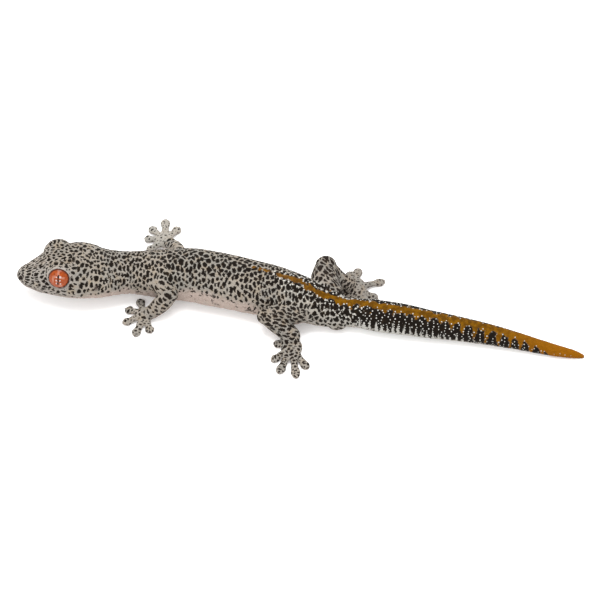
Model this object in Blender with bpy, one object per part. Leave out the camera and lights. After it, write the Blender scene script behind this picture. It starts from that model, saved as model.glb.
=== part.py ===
"""Golden-tailed gecko at rest, life size, in one piece of pose.

The head points to -X, the back is up and the belly, the toe pads and the tail lie on z = 0.
All driving sizes are in millimetres along the animal; MM turns them into metres.
"""
import math

import bmesh
import bpy
from mathutils import Vector

MM = 0.001
PART_NAME = "golden_tailed_gecko"
CUTTER_NAME = "gecko_cutters"

# The animal is measured from mid body; PLACE carries it so that its box stands centred on the origin.
PLACE = Vector((0.0, 2.6, 0.0))

GAP = 0.3
BODY_SIDES = 24
HEAD_SIDES = 28
LIMB_SIDES = 12
TOE_SIDES = 8
HEAD_SQUARENESS = 2.25
BODY_SQUARENESS = 2.1

# Sections of the body from snout to tail tip:
# x, y of the spine, half width, then heights of underside, widest line and back.
BODY = (
    (-58.95, 0.45, 0.30, 4.35, 4.60, 4.90),
    (-58.50, 0.42, 1.30, 3.60, 4.60, 5.70),
    (-57.60, 0.35, 2.15, 3.00, 4.65, 6.35),
    (-56.25, 0.22, 3.05, 2.50, 4.70, 7.05),
    (-54.20, 0.22, 4.25, 2.10, 4.85, 8.20),
    (-52.10, 0.40, 5.25, 1.95, 5.00, 9.20),
    (-50.00, 0.55, 5.95, 1.90, 5.10, 9.90),
    (-47.90, 0.60, 6.45, 1.85, 5.20, 10.30),
    (-45.80, 0.60, 6.60, 1.85, 5.30, 10.35),
    (-43.75, 0.50, 6.40, 1.80, 5.30, 10.00),
    (-41.70, 0.40, 5.95, 1.70, 5.10, 9.35),
    (-39.60, 0.50, 5.45, 1.55, 4.90, 9.00),
    (-37.50, 0.70, 4.95, 1.30, 4.70, 8.80),
    (-35.40, 0.85, 4.65, 0.90, 4.50, 8.75),
    (-33.30, 0.90, 4.75, 0.45, 4.30, 8.85),
    (-31.25, 0.90, 5.00, 0.05, 4.20, 9.00),
    (-28.10, 0.75, 5.40, -0.12, 4.00, 9.30),
    (-22.90, 0.45, 5.85, -0.12, 3.80, 9.80),
    (-18.75, -0.50, 6.00, -0.12, 3.80, 10.00),
    (-14.60, -1.50, 5.95, -0.12, 3.80, 9.90),
    (-10.40, -2.70, 5.85, -0.12, 3.80, 9.80),
    (-6.25, -3.85, 5.65, -0.12, 3.80, 9.70),
    (-2.10, -5.20, 5.25, -0.12, 3.75, 9.45),
    (1.04, -6.20, 4.80, -0.12, 3.60, 8.80),
    (3.75, -7.25, 4.30, -0.12, 3.50, 8.10),
    (6.25, -8.10, 3.70, -0.12, 3.30, 7.30),
    (8.40, -8.45, 3.15, -0.12, 3.15, 6.60),
    (10.40, -8.60, 2.90, -0.12, 3.00, 6.15),
    (12.50, -8.85, 2.95, -0.12, 3.00, 6.15),
    (14.60, -9.30, 3.20, -0.12, 3.15, 6.45),
    (16.70, -9.80, 3.30, -0.12, 3.20, 6.60),
    (20.80, -10.50, 3.25, -0.12, 3.15, 6.45),
    (27.00, -11.65, 2.90, -0.12, 2.85, 5.80),
    (33.30, -12.70, 2.52, -0.12, 2.50, 5.10),
    (39.60, -13.95, 2.18, -0.12, 2.15, 4.35),
    (45.80, -15.45, 1.75, -0.12, 1.70, 3.50),
    (50.00, -16.58, 1.46, -0.12, 1.40, 2.92),
    (54.20, -17.60, 1.15, -0.12, 1.10, 2.28),
    (57.30, -18.10, 0.84, -0.12, 0.75, 1.52),
    (59.05, -18.32, 0.38, -0.08, 0.34, 0.74),
)

# Where the trunk is divided, along x.
NECK_START = -40.6
NECK_END = -33.4
WAIST = -13.5
VENT = 4.2
TAIL_CUT_1 = 24.0
TAIL_CUT_2 = 42.0
TAIL_END = 59.05
SNOUT_TIP = -58.95

# Eye: lens set in a rimmed bulge on each side of the head. The head is held turned a little about its
# length, so the left eye (side -1) looks further up than the right one (side 1).
EYE_MIDDLE = {-1: (-49.92, -2.18, 7.67), 1: (-50.25, 3.03, 8.27)}
EYE_TURN_UP = {-1: math.radians(22.0), 1: math.radians(-8.0)}
EYE_TURN_FORWARD = math.radians(8.0)
BULGE_RADIUS = 2.88
BULGE_LENGTH = {-1: 1.04, 1: 1.13}
LENS_OUT = 1.65
LENS_RADIUS = 2.15
LENS_DEPTH = 1.2
RIM_RADIUS = 2.44
RIM_THICK = 0.32

MOUTH_CORNER_X = -46.9
MOUTH_TIP_Z = 3.95
MOUTH_CORNER_Z = 4.85
MOUTH_GROOVE = 0.24
MOUTH_SPACING = 0.9
NOSTRIL = (-57.75, 1.75, 5.75)
NOSTRIL_RADIUS = 0.36
EAR = (-42.4, 5.35, 6.6)
EAR_SIZE = (0.55, 0.8, 0.9)

VENT_BULGE = (7.6, 1.75, 1.95)
VENT_BULGE_SIZE = (2.45, 1.85, 1.9)

# Limbs: x, y, z of each joint's middle and the radius there.
LIMBS = {
    "arm_left": {
        "upper": ("upper_arm_left", ((-29.9, -1.9, 5.6, 2.3), (-28.5, -4.1, 5.7, 2.0), (-26.9, -5.6, 5.5, 1.65))),
        "lower": ("forearm_left", ((-26.9, -5.6, 5.5, 1.6), (-28.6, -6.5, 3.6, 1.85), (-30.7, -7.2, 1.7, 1.5))),
        "end": ("hand_left", (-32.3, -7.5, 0.85), (1.95, 1.75, 0.85)),
        "toes": (
            (-33.3, -3.4, 0.55),
            (-35.9, -5.7, 0.55),
            (-36.4, -9.2, 0.55),
            (-34.2, -12.3, 0.55),
            (-31.2, -11.5, 0.55),
        ),
    },
    "arm_right": {
        "upper": ("upper_arm_right", ((-29.9, 3.0, 5.4, 2.2), (-27.5, 5.0, 4.8, 1.8), (-24.9, 6.5, 3.8, 1.5))),
        "lower": ("forearm_right", ((-24.9, 6.5, 3.8, 1.45), (-25.8, 9.0, 2.7, 1.5), (-27.1, 11.4, 1.5, 1.25))),
        "end": ("hand_right", (-28.2, 12.7, 0.85), (1.85, 1.85, 0.85)),
        "toes": (
            (-31.5, 10.5, 0.55),
            (-32.0, 13.6, 0.55),
            (-31.0, 16.4, 0.55),
            (-28.1, 18.3, 0.55),
            (-25.5, 16.3, 0.55),
        ),
    },
    "leg_left": {
        "upper": ("thigh_left", ((2.9, -8.4, 4.4, 2.7), (-2.0, -9.6, 4.5, 2.8), (-7.2, -10.7, 4.3, 1.75))),
        "lower": ("shin_left", ((-7.2, -10.7, 4.3, 1.65), (-4.5, -12.1, 3.2, 2.0), (-1.8, -13.9, 1.9, 1.9))),
        "end": ("foot_left", (-1.75, -16.35, 0.9), (2.25, 2.35, 0.9)),
        "toes": (
            (-5.0, -14.9, 0.55),
            (-5.5, -19.3, 0.55),
            (-4.2, -22.3, 0.55),
            (-0.85, -23.45, 0.55),
            (1.3, -21.2, 0.55),
        ),
    },
    "leg_right": {
        "upper": ("thigh_right", ((6.0, -5.3, 4.4, 3.2), (5.2, -1.3, 4.7, 3.0), (5.4, 2.3, 4.9, 2.25))),
        "lower": ("shin_right", ((5.6, 2.2, 4.8, 1.9), (8.0, 0.4, 3.0, 1.8), (10.0, -0.3, 1.8, 1.65))),
        "end": ("foot_right", (11.3, -0.3, 0.9), (2.6, 3.1, 0.9)),
        "toes": (
            (10.4, 4.1, 0.55),
            (12.2, 4.9, 0.55),
            (17.1, 1.9, 0.55),
            (15.7, -2.5, 0.55),
            (13.9, -3.8, 0.55),
        ),
    },
}

TOE_SHAFT = (0.72, 0.56)
TOE_PAD = (1.04, 0.55)
TOE_END = (0.40, 0.30)
TOE_ARCH = 0.30

SKIN = ("spotted_skin", (0.235, 0.205, 0.180), 0.62)
TAIL_DARK = ("black_gold_skin", (0.125, 0.085, 0.035), 0.55)
TAIL_GOLD = ("gold_skin", (0.330, 0.145, 0.014), 0.50)
EYE_SKIN = ("orange_eye", (0.600, 0.110, 0.022), 0.12)


def clear_scene():
    for obj in list(bpy.data.objects):
        bpy.data.objects.remove(obj, do_unlink=True)


def new_collection(name):
    collection = bpy.data.collections.new(name)
    bpy.context.scene.collection.children.link(collection)
    return collection


def principled(spec):
    name, colour, roughness = spec
    material = bpy.data.materials.new(name)
    material.use_nodes = True
    shader = material.node_tree.nodes["Principled BSDF"]
    shader.inputs["Base Color"].default_value = (*colour, 1.0)
    shader.inputs["Roughness"].default_value = roughness
    shader.inputs["Metallic"].default_value = 0.0
    material.diffuse_color = (*colour, 1.0)
    return material


def slopes(xs, ys):
    """Tangents that keep a curve through the rows from overshooting them."""
    steps = [(ys[i + 1] - ys[i]) / (xs[i + 1] - xs[i]) for i in range(len(xs) - 1)]
    out = [steps[0]]
    for before, after in zip(steps, steps[1:]):
        if before * after <= 0.0:
            out.append(0.0)
        else:
            out.append(2.0 * before * after / (before + after))
    out.append(steps[-1])
    return out


BODY_X = [row[0] for row in BODY]
BODY_COLUMNS = [[row[c] for row in BODY] for c in range(1, 6)]
BODY_SLOPES = [slopes(BODY_X, column) for column in BODY_COLUMNS]


def body_at(x):
    """Spine y, half width, underside, widest line and back at x, and the slope of the spine."""
    x = min(max(x, BODY_X[0]), BODY_X[-1])
    i = 0
    while i < len(BODY_X) - 2 and x > BODY_X[i + 1]:
        i += 1
    span = BODY_X[i + 1] - BODY_X[i]
    t = (x - BODY_X[i]) / span
    values = []
    for column, slope in zip(BODY_COLUMNS, BODY_SLOPES):
        a = column[i]
        b = column[i + 1]
        c = slope[i] * span
        d = slope[i + 1] * span
        values.append(a + t * c + t * t * (3 * (b - a) - 2 * c - d) + t * t * t * (2 * (a - b) + c + d))
    a = BODY_COLUMNS[0][i]
    b = BODY_COLUMNS[0][i + 1]
    c = BODY_SLOPES[0][i] * span
    d = BODY_SLOPES[0][i + 1] * span
    lean = (c + 2 * t * (3 * (b - a) - 2 * c - d) + 3 * t * t * (2 * (a - b) + c + d)) / span
    return values, lean


def powered(value, power):
    return math.copysign(abs(value) ** power, value)


def body_ring(x, sides, squareness, grow=0.0):
    """One closed section of the body, square to the spine."""
    (y, half, low, wide, high), lean = body_at(x)
    side = Vector((-lean, 1.0, 0.0)).normalized()
    power = 2.0 / squareness
    ring = []
    for k in range(sides):
        angle = 2.0 * math.pi * (k + 0.5) / sides
        across = (half + grow) * powered(math.cos(angle), power)
        rise = (high - wide if math.sin(angle) > 0 else wide - low) + grow
        up = rise * powered(math.sin(angle), power)
        ring.append(Vector((x, y, wide)) + side * across + Vector((0.0, 0.0, up)))
    return ring


def tube_rings(stations, sides, round_start, round_end):
    """Rings along stations of (middle, width radius, height radius), with domed ends where asked."""
    steps = 4
    out = []
    count = len(stations)
    for i, (middle, wide, tall) in enumerate(stations):
        before = stations[max(i - 1, 0)][0]
        after = stations[min(i + 1, count - 1)][0]
        along = (after - before).normalized()
        side = along.cross(Vector((0.0, 0.0, 1.0))).normalized()
        up = side.cross(along).normalized()
        out.append((middle, wide, tall, along, side, up))
    full = []
    if round_start:
        middle, wide, tall, along, side, up = out[0]
        for j in range(steps - 1, 0, -1):
            turn = 0.5 * math.pi * j / steps
            reach = min(wide, tall) * math.sin(turn)
            full.append((middle - along * reach, wide * math.cos(turn), tall * math.cos(turn), along, side, up))
    full.extend(out)
    if round_end:
        middle, wide, tall, along, side, up = out[-1]
        for j in range(1, steps):
            turn = 0.5 * math.pi * j / steps
            reach = min(wide, tall) * math.sin(turn)
            full.append((middle + along * reach, wide * math.cos(turn), tall * math.cos(turn), along, side, up))
    rings = []
    for middle, wide, tall, along, side, up in full:
        ring = []
        for k in range(sides):
            angle = 2.0 * math.pi * (k + 0.5) / sides
            ring.append(middle + side * wide * math.cos(angle) + up * tall * math.sin(angle))
        rings.append(ring)
    return rings


def eased(stations, pieces):
    """Extra stations along a smooth curve through the given ones."""
    out = []
    last = len(stations) - 1
    for i in range(last):
        rows = [stations[max(i - 1, 0)], stations[i], stations[i + 1], stations[min(i + 2, last)]]
        for j in range(pieces):
            t = j / pieces
            mix = []
            for c in range(len(rows[0])):
                p0, p1, p2, p3 = (row[c] for row in rows)
                mix.append(0.5 * (2 * p1 + (p2 - p0) * t + (2 * p0 - 5 * p1 + 4 * p2 - p3) * t * t
                                  + (3 * p1 - p0 - 3 * p2 + p3) * t * t * t))
            out.append(mix)
    out.append(list(stations[last]))
    return out


def place_mesh(name, bm, collection):
    bm.normal_update()
    bmesh.ops.recalc_face_normals(bm, faces=bm.faces)
    for vert in bm.verts:
        vert.co = (vert.co + PLACE) * MM
    mesh = bpy.data.meshes.new(name)
    bm.to_mesh(mesh)
    bm.free()
    obj = bpy.data.objects.new(name, mesh)
    collection.objects.link(obj)
    return obj


def loft(name, rings, collection):
    bm = bmesh.new()
    loops = [[bm.verts.new(point) for point in ring] for ring in rings]
    for near, far in zip(loops, loops[1:]):
        for k in range(len(near)):
            m = (k + 1) % len(near)
            bm.faces.new((near[k], near[m], far[m], far[k]))
    bm.faces.new(loops[0])
    bm.faces.new(loops[-1])
    return place_mesh(name, bm, collection)


def ellipsoid(name, middle, sizes, axes, columns, rows, collection):
    """A ball stretched along three given axes."""
    bm = bmesh.new()
    bmesh.ops.create_uvsphere(bm, u_segments=columns, v_segments=rows, radius=1.0)
    for vert in bm.verts:
        local = vert.co.copy()
        vert.co = middle + sum((axes[i] * (local[i] * sizes[i]) for i in range(3)), Vector())
    return place_mesh(name, bm, collection)


def round_ring(name, middle, normal, radius, thick, columns, rows, collection):
    """A torus about the given normal."""
    across = normal.cross(Vector((0.0, 0.0, 1.0))).normalized()
    upward = across.cross(normal).normalized()
    bm = bmesh.new()
    loops = []
    for i in range(columns):
        turn = 2.0 * math.pi * i / columns
        out = across * math.cos(turn) + upward * math.sin(turn)
        loop = []
        for j in range(rows):
            roll = 2.0 * math.pi * j / rows
            spot = middle + out * (radius + thick * math.cos(roll)) + normal * thick * math.sin(roll)
            loop.append(bm.verts.new(spot))
        loops.append(loop)
    for i in range(columns):
        near = loops[i]
        far = loops[(i + 1) % columns]
        for j in range(rows):
            m = (j + 1) % rows
            bm.faces.new((near[j], near[m], far[m], far[j]))
    return place_mesh(name, bm, collection)


def settle(obj):
    """Makes the result of the object's modifiers its own mesh."""
    bpy.context.view_layer.update()
    depsgraph = bpy.context.evaluated_depsgraph_get()
    mesh = bpy.data.meshes.new_from_object(obj.evaluated_get(depsgraph))
    obj.modifiers.clear()
    old = obj.data
    obj.data = mesh
    bpy.data.meshes.remove(old)


def keep_largest(obj):
    """Leaves only the closed surface with the most faces' area."""
    bm = bmesh.new()
    bm.from_mesh(obj.data)
    left = set(bm.faces)
    groups = []
    while left:
        stack = [left.pop()]
        group = list(stack)
        while stack:
            face = stack.pop()
            for edge in face.edges:
                for other in edge.link_faces:
                    if other in left:
                        left.remove(other)
                        stack.append(other)
                        group.append(other)
        groups.append(group)
    groups.sort(key=lambda group: sum(face.calc_area() for face in group))
    spare = [face for group in groups[:-1] for face in group]
    bmesh.ops.delete(bm, geom=spare, context="FACES")
    bm.to_mesh(obj.data)
    bm.free()


def combine(obj, pieces, operation, solver="EXACT"):
    """One Boolean of the object with a collection of closed pieces, which are then removed."""
    group = new_collection(obj.name + "_" + operation.lower())
    for piece in pieces:
        for owner in list(piece.users_collection):
            owner.objects.unlink(piece)
        group.objects.link(piece)
        piece.hide_render = True
        piece.display_type = "WIRE"
    boolean = obj.modifiers.new(operation.lower(), "BOOLEAN")
    boolean.operation = operation
    boolean.operand_type = "COLLECTION"
    boolean.collection = group
    boolean.solver = solver
    settle(obj)
    for piece in pieces:
        bpy.data.objects.remove(piece, do_unlink=True)
    bpy.data.collections.remove(group)
    keep_largest(obj)


def stand_on_floor(obj):
    """Cuts away what would be under the floor and closes the cut, which leaves the flat it rests on."""
    bm = bmesh.new()
    bm.from_mesh(obj.data)
    geom = list(bm.verts) + list(bm.edges) + list(bm.faces)
    cut = bmesh.ops.bisect_plane(
        bm, geom=geom, dist=1e-7, plane_co=(0.0, 0.0, 0.0), plane_no=(0.0, 0.0, 1.0), clear_inner=True
    )
    edges = [item for item in cut["geom_cut"] if isinstance(item, bmesh.types.BMEdge) and item.is_boundary]
    if edges:
        bmesh.ops.holes_fill(bm, edges=edges, sides=0)
    spare = [edge for edge in bm.edges if not edge.link_faces]
    bmesh.ops.delete(bm, geom=spare, context="EDGES")
    bmesh.ops.recalc_face_normals(bm, faces=bm.faces)
    bm.to_mesh(obj.data)
    bm.free()


def finish(obj, material):
    bm = bmesh.new()
    bm.from_mesh(obj.data)
    bmesh.ops.triangulate(bm, faces=bm.faces)
    for face in bm.faces:
        face.smooth = False
    bm.to_mesh(obj.data)
    bm.free()
    obj.data.materials.clear()
    obj.data.materials.append(material)


def trunk_rings(start, end, count, grow=0.0, sides=BODY_SIDES):
    return [
        body_ring(start + (end - start) * i / (count - 1), sides, BODY_SQUARENESS, grow) for i in range(count)
    ]


def trunk_piece(name, start, end, count, collection, sides=BODY_SIDES):
    piece = loft(name, trunk_rings(start, end, count, 0.0, sides), collection)
    stand_on_floor(piece)
    return piece


def trunk_cutter(start, end, count, collection):
    return loft("trunk_cutter", trunk_rings(start, end, count, GAP), collection)


def eye_frame(side):
    """Middle of the eye bulge, the way the eye looks, and two axes across it, for side -1 (left) or 1."""
    turn_up = EYE_TURN_UP[side]
    flat = math.cos(turn_up)
    look = Vector((-flat * math.sin(EYE_TURN_FORWARD), side * flat * math.cos(EYE_TURN_FORWARD),
                   math.sin(turn_up)))
    middle = Vector(EYE_MIDDLE[side])
    across = look.cross(Vector((0.0, 0.0, 1.0))).normalized()
    upward = across.cross(look).normalized()
    return middle, look, across, upward


def head_side(x, z):
    """Half width of the head at height z."""
    (y, half, low, wide, high), lean = body_at(x)
    reach = (high - wide) if z > wide else (wide - low)
    part = min(abs(z - wide) / reach, 1.0)
    return y, half * (1.0 - part ** HEAD_SQUARENESS) ** (1.0 / HEAD_SQUARENESS)


def mouth_path():
    """Evenly spaced points on the skin along the closed mouth, from one corner round the snout to the other."""
    steps = 60
    right = []
    for i in range(steps + 1):
        part = i / steps
        x = SNOUT_TIP + 0.25 + (MOUTH_CORNER_X - SNOUT_TIP - 0.25) * part ** 1.9
        z = MOUTH_TIP_Z + (MOUTH_CORNER_Z - MOUTH_TIP_Z) * part ** 1.5
        y, half = head_side(x, z)
        right.append((x, y, half, z))
    fine = [Vector((x, y - half, z)) for x, y, half, z in reversed(right)]
    fine += [Vector((x, y + half, z)) for x, y, half, z in right]
    total = sum((b - a).length for a, b in zip(fine, fine[1:]))
    space = total / round(total / MOUTH_SPACING)
    path = [fine[0]]
    walked = 0.0
    for a, b in zip(fine, fine[1:]):
        length = (b - a).length
        while walked + length >= space * len(path) - 1e-6:
            path.append(a.lerp(b, (space * len(path) - walked) / length))
        walked += length
    return path


def build_head(collection, cutters, skin, eye_material):
    count = 20
    rings = []
    for i in range(count):
        part = i / (count - 1)
        x = SNOUT_TIP + (NECK_START - 0.5 * GAP - SNOUT_TIP) * part ** 1.45
        rings.append(body_ring(x, HEAD_SIDES, HEAD_SQUARENESS))
    head = loft("head", rings, collection)
    bulges = []
    sockets = []
    eyes = []
    for side, word in ((-1, "left"), (1, "right")):
        middle, look, across, upward = eye_frame(side)
        axes = (across, upward, look)
        size = (BULGE_RADIUS * BULGE_LENGTH[side], BULGE_RADIUS, BULGE_RADIUS)
        bulges.append(ellipsoid("bulge", middle, size, axes, 20, 12, cutters))
        lens = middle + look * LENS_OUT
        bulges.append(round_ring("rim", lens, look, RIM_RADIUS, RIM_THICK, 24, 6, cutters))
        hole = (LENS_RADIUS + 0.25, LENS_RADIUS + 0.25, LENS_DEPTH + GAP)
        sockets.append(ellipsoid("socket", lens, hole, axes, 20, 12, cutters))
        sizes = (LENS_RADIUS, LENS_RADIUS, LENS_DEPTH)
        eye = ellipsoid("eye_" + word, lens, sizes, axes, 18, 10, collection)
        finish(eye, eye_material)
        eyes.append(eye)
    combine(head, bulges, "UNION")
    pits = list(sockets)
    path = mouth_path()
    stations = [(point, MOUTH_GROOVE, MOUTH_GROOVE) for point in path]
    pits.append(loft("mouth_cutter", tube_rings(stations, 6, True, True), cutters))
    world = (Vector((1, 0, 0)), Vector((0, 1, 0)), Vector((0, 0, 1)))
    for side in (-1, 1):
        spot = Vector((NOSTRIL[0], body_at(NOSTRIL[0])[0][0] + side * NOSTRIL[1], NOSTRIL[2]))
        sizes = (NOSTRIL_RADIUS,) * 3
        pits.append(ellipsoid("nostril_cutter", spot, sizes, world, 10, 6, cutters))
        spot = Vector((EAR[0], body_at(EAR[0])[0][0] + side * EAR[1], EAR[2]))
        pits.append(ellipsoid("ear_cutter", spot, EAR_SIZE, world, 12, 8, cutters))
    combine(head, pits, "DIFFERENCE")
    finish(head, skin)
    return head


def toe_stations(root, tip):
    """A toe that arches off the palm and widens into a pad near its end."""
    shape = (
        (0.00, TOE_SHAFT[0] * 1.15, TOE_SHAFT[1] * 1.1),
        (0.35, TOE_SHAFT[0] * 1.05, TOE_SHAFT[1]),
        (0.58, TOE_SHAFT[0], TOE_SHAFT[1] * 0.95),
        (0.72, TOE_PAD[0] * 0.82, TOE_PAD[1]),
        (0.86, TOE_PAD[0], TOE_PAD[1]),
        (0.98, TOE_PAD[0] * 0.92, TOE_PAD[1] * 0.9),
        (1.07, TOE_PAD[0] * 0.66, TOE_PAD[1] * 0.75),
        (1.13, TOE_END[0], TOE_END[1]),
    )
    stations = []
    for part, wide, tall in shape:
        spot = root.lerp(tip, part)
        lift = TOE_ARCH * math.sin(math.pi * min(max(part / 0.72, 0.0), 1.0))
        spot.z = tall - 0.05 + lift
        stations.append((spot, wide, tall))
    return stations


def build_limb(key, collection, cutters, skin, trunk):
    limb = LIMBS[key]
    name, rows = limb["upper"]
    stations = [(Vector(row[:3]), row[3], row[3]) for row in eased(rows, 4)]
    upper = loft(name, tube_rings(stations, LIMB_SIDES, True, True), collection)
    combine(upper, [make() for make in trunk], "DIFFERENCE")
    stand_on_floor(upper)

    grown = [(middle, wide + GAP, tall + GAP) for middle, wide, tall in stations]
    name, rows = limb["lower"]
    stations = [(Vector(row[:3]), row[3], row[3]) for row in eased(rows, 4)]
    lower = loft(name, tube_rings(stations, LIMB_SIDES, True, True), collection)
    cut = [loft("upper_cutter", tube_rings(grown, LIMB_SIDES, True, True), cutters)]
    cut += [make() for make in trunk]
    combine(lower, cut, "DIFFERENCE")
    stand_on_floor(lower)

    grown_lower = [(middle, wide + GAP, tall + GAP) for middle, wide, tall in stations]
    name, middle, sizes = limb["end"]
    world = (Vector((1, 0, 0)), Vector((0, 1, 0)), Vector((0, 0, 1)))
    palm = Vector(middle)
    hand = ellipsoid(name, palm, sizes, world, 16, 10, collection)
    toes = []
    for tip in limb["toes"]:
        root = palm.lerp(Vector(tip), 0.22)
        toes.append(loft("toe", tube_rings(toe_stations(root, Vector(tip)), TOE_SIDES, False, False), cutters))
    wrist = [
        (stations[-1][0].lerp(stations[-3][0], 0.5), stations[-1][1], stations[-1][2]),
        (stations[-1][0].lerp(palm, 0.6), stations[-1][1] * 0.95, stations[-1][2] * 0.8),
        (palm.lerp(stations[-1][0], 0.1), sizes[0] * 0.72, sizes[2] * 0.85),
    ]
    toes.append(loft("wrist", tube_rings(wrist, LIMB_SIDES, False, False), cutters))
    combine(hand, toes, "UNION")
    cut = [loft("lower_cutter", tube_rings(grown_lower, LIMB_SIDES, True, True), cutters)]
    cut.append(loft("upper_cutter", tube_rings(grown, LIMB_SIDES, True, True), cutters))
    cut += [make() for make in trunk]
    combine(hand, cut, "DIFFERENCE")
    stand_on_floor(hand)
    for obj in (upper, lower, hand):
        finish(obj, skin)


def vent_bulge(grow, cutters, side):
    y = body_at(VENT_BULGE[0])[0][0]
    spot = Vector((VENT_BULGE[0], y + side * VENT_BULGE[1], VENT_BULGE[2]))
    sizes = tuple(size + grow for size in VENT_BULGE_SIZE)
    lean = body_at(VENT_BULGE[0])[1]
    along = Vector((1.0, lean, 0.0)).normalized()
    side_axis = Vector((-lean, 1.0, 0.0)).normalized()
    return ellipsoid("vent_bulge", spot, sizes, (along, side_axis, Vector((0, 0, 1))), 18, 12, cutters)


def main():
    clear_scene()
    collection = new_collection(PART_NAME)
    cutters = new_collection(CUTTER_NAME)
    skin = principled(SKIN)
    dark = principled(TAIL_DARK)
    gold = principled(TAIL_GOLD)
    orange = principled(EYE_SKIN)

    build_head(collection, cutters, skin, orange)
    half = 0.5 * GAP
    finish(trunk_piece("neck", NECK_START + half, NECK_END - half, 6, collection), skin)
    finish(trunk_piece("chest", NECK_END + half, WAIST - half, 10, collection), skin)
    finish(trunk_piece("belly", WAIST + half, VENT - half, 10, collection), skin)

    tail = loft("tail_base", trunk_rings(VENT + half, TAIL_CUT_1 - half, 12, 0.0, 20), collection)
    combine(tail, [vent_bulge(0.0, cutters, -1), vent_bulge(0.0, cutters, 1)], "UNION")
    stand_on_floor(tail)
    finish(tail, dark)
    finish(trunk_piece("tail_middle", TAIL_CUT_1 + half, TAIL_CUT_2 - half, 8, collection, 20), dark)
    finish(trunk_piece("tail_tip", TAIL_CUT_2 + half, TAIL_END, 9, collection, 16), gold)

    trunk = (
        lambda: trunk_cutter(-45.0, -9.0, 14, cutters),
        lambda: trunk_cutter(-11.0, 24.0, 16, cutters),
        lambda: vent_bulge(GAP, cutters, -1),
        lambda: vent_bulge(GAP, cutters, 1),
    )
    for key in LIMBS:
        build_limb(key, collection, cutters, skin, trunk)


main()
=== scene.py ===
import math

import bmesh
import bpy
import numpy as np
from mathutils import Matrix, Vector
from mathutils.kdtree import KDTree


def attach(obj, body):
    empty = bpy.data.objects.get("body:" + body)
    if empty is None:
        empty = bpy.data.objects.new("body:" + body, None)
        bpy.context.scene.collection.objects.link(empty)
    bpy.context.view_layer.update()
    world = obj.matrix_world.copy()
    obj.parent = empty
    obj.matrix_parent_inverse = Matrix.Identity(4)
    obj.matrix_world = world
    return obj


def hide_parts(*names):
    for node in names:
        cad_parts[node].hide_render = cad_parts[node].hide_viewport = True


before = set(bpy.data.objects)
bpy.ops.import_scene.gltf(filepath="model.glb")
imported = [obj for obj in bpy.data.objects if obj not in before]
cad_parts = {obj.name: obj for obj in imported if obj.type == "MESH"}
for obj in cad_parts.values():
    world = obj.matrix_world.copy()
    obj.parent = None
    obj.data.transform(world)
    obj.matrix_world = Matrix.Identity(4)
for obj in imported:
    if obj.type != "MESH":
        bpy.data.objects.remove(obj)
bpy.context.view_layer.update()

# Head, trunk and tail: one soft body, blunt at the snout and drawn out to a thin tail, lying flat along
# the belly. Its sections run through the neck and the vent without a seam, so they are made as one form.
# Everything is modelled in millimetres along the animal and carried into the frame when it is finished.
MM = 0.001
PLACE = Vector((0.0, 2.6, 0.0))
SKIN_DEPTH = 0.05
SUNK = -0.12
BODY_SIDES = 44
BODY_STEP = 0.7
HEAD_SQUARENESS = 2.25
BODY_SQUARENESS = 2.1
NECK_X = -36.0
NECK_LENGTH = 6.0
SNOUT_TIP = -58.95
SNOUT_STEPS = (0.1, 0.25, 0.45)
TAIL_END = 59.05
UP = Vector((0.0, 0.0, 1.0))

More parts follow.
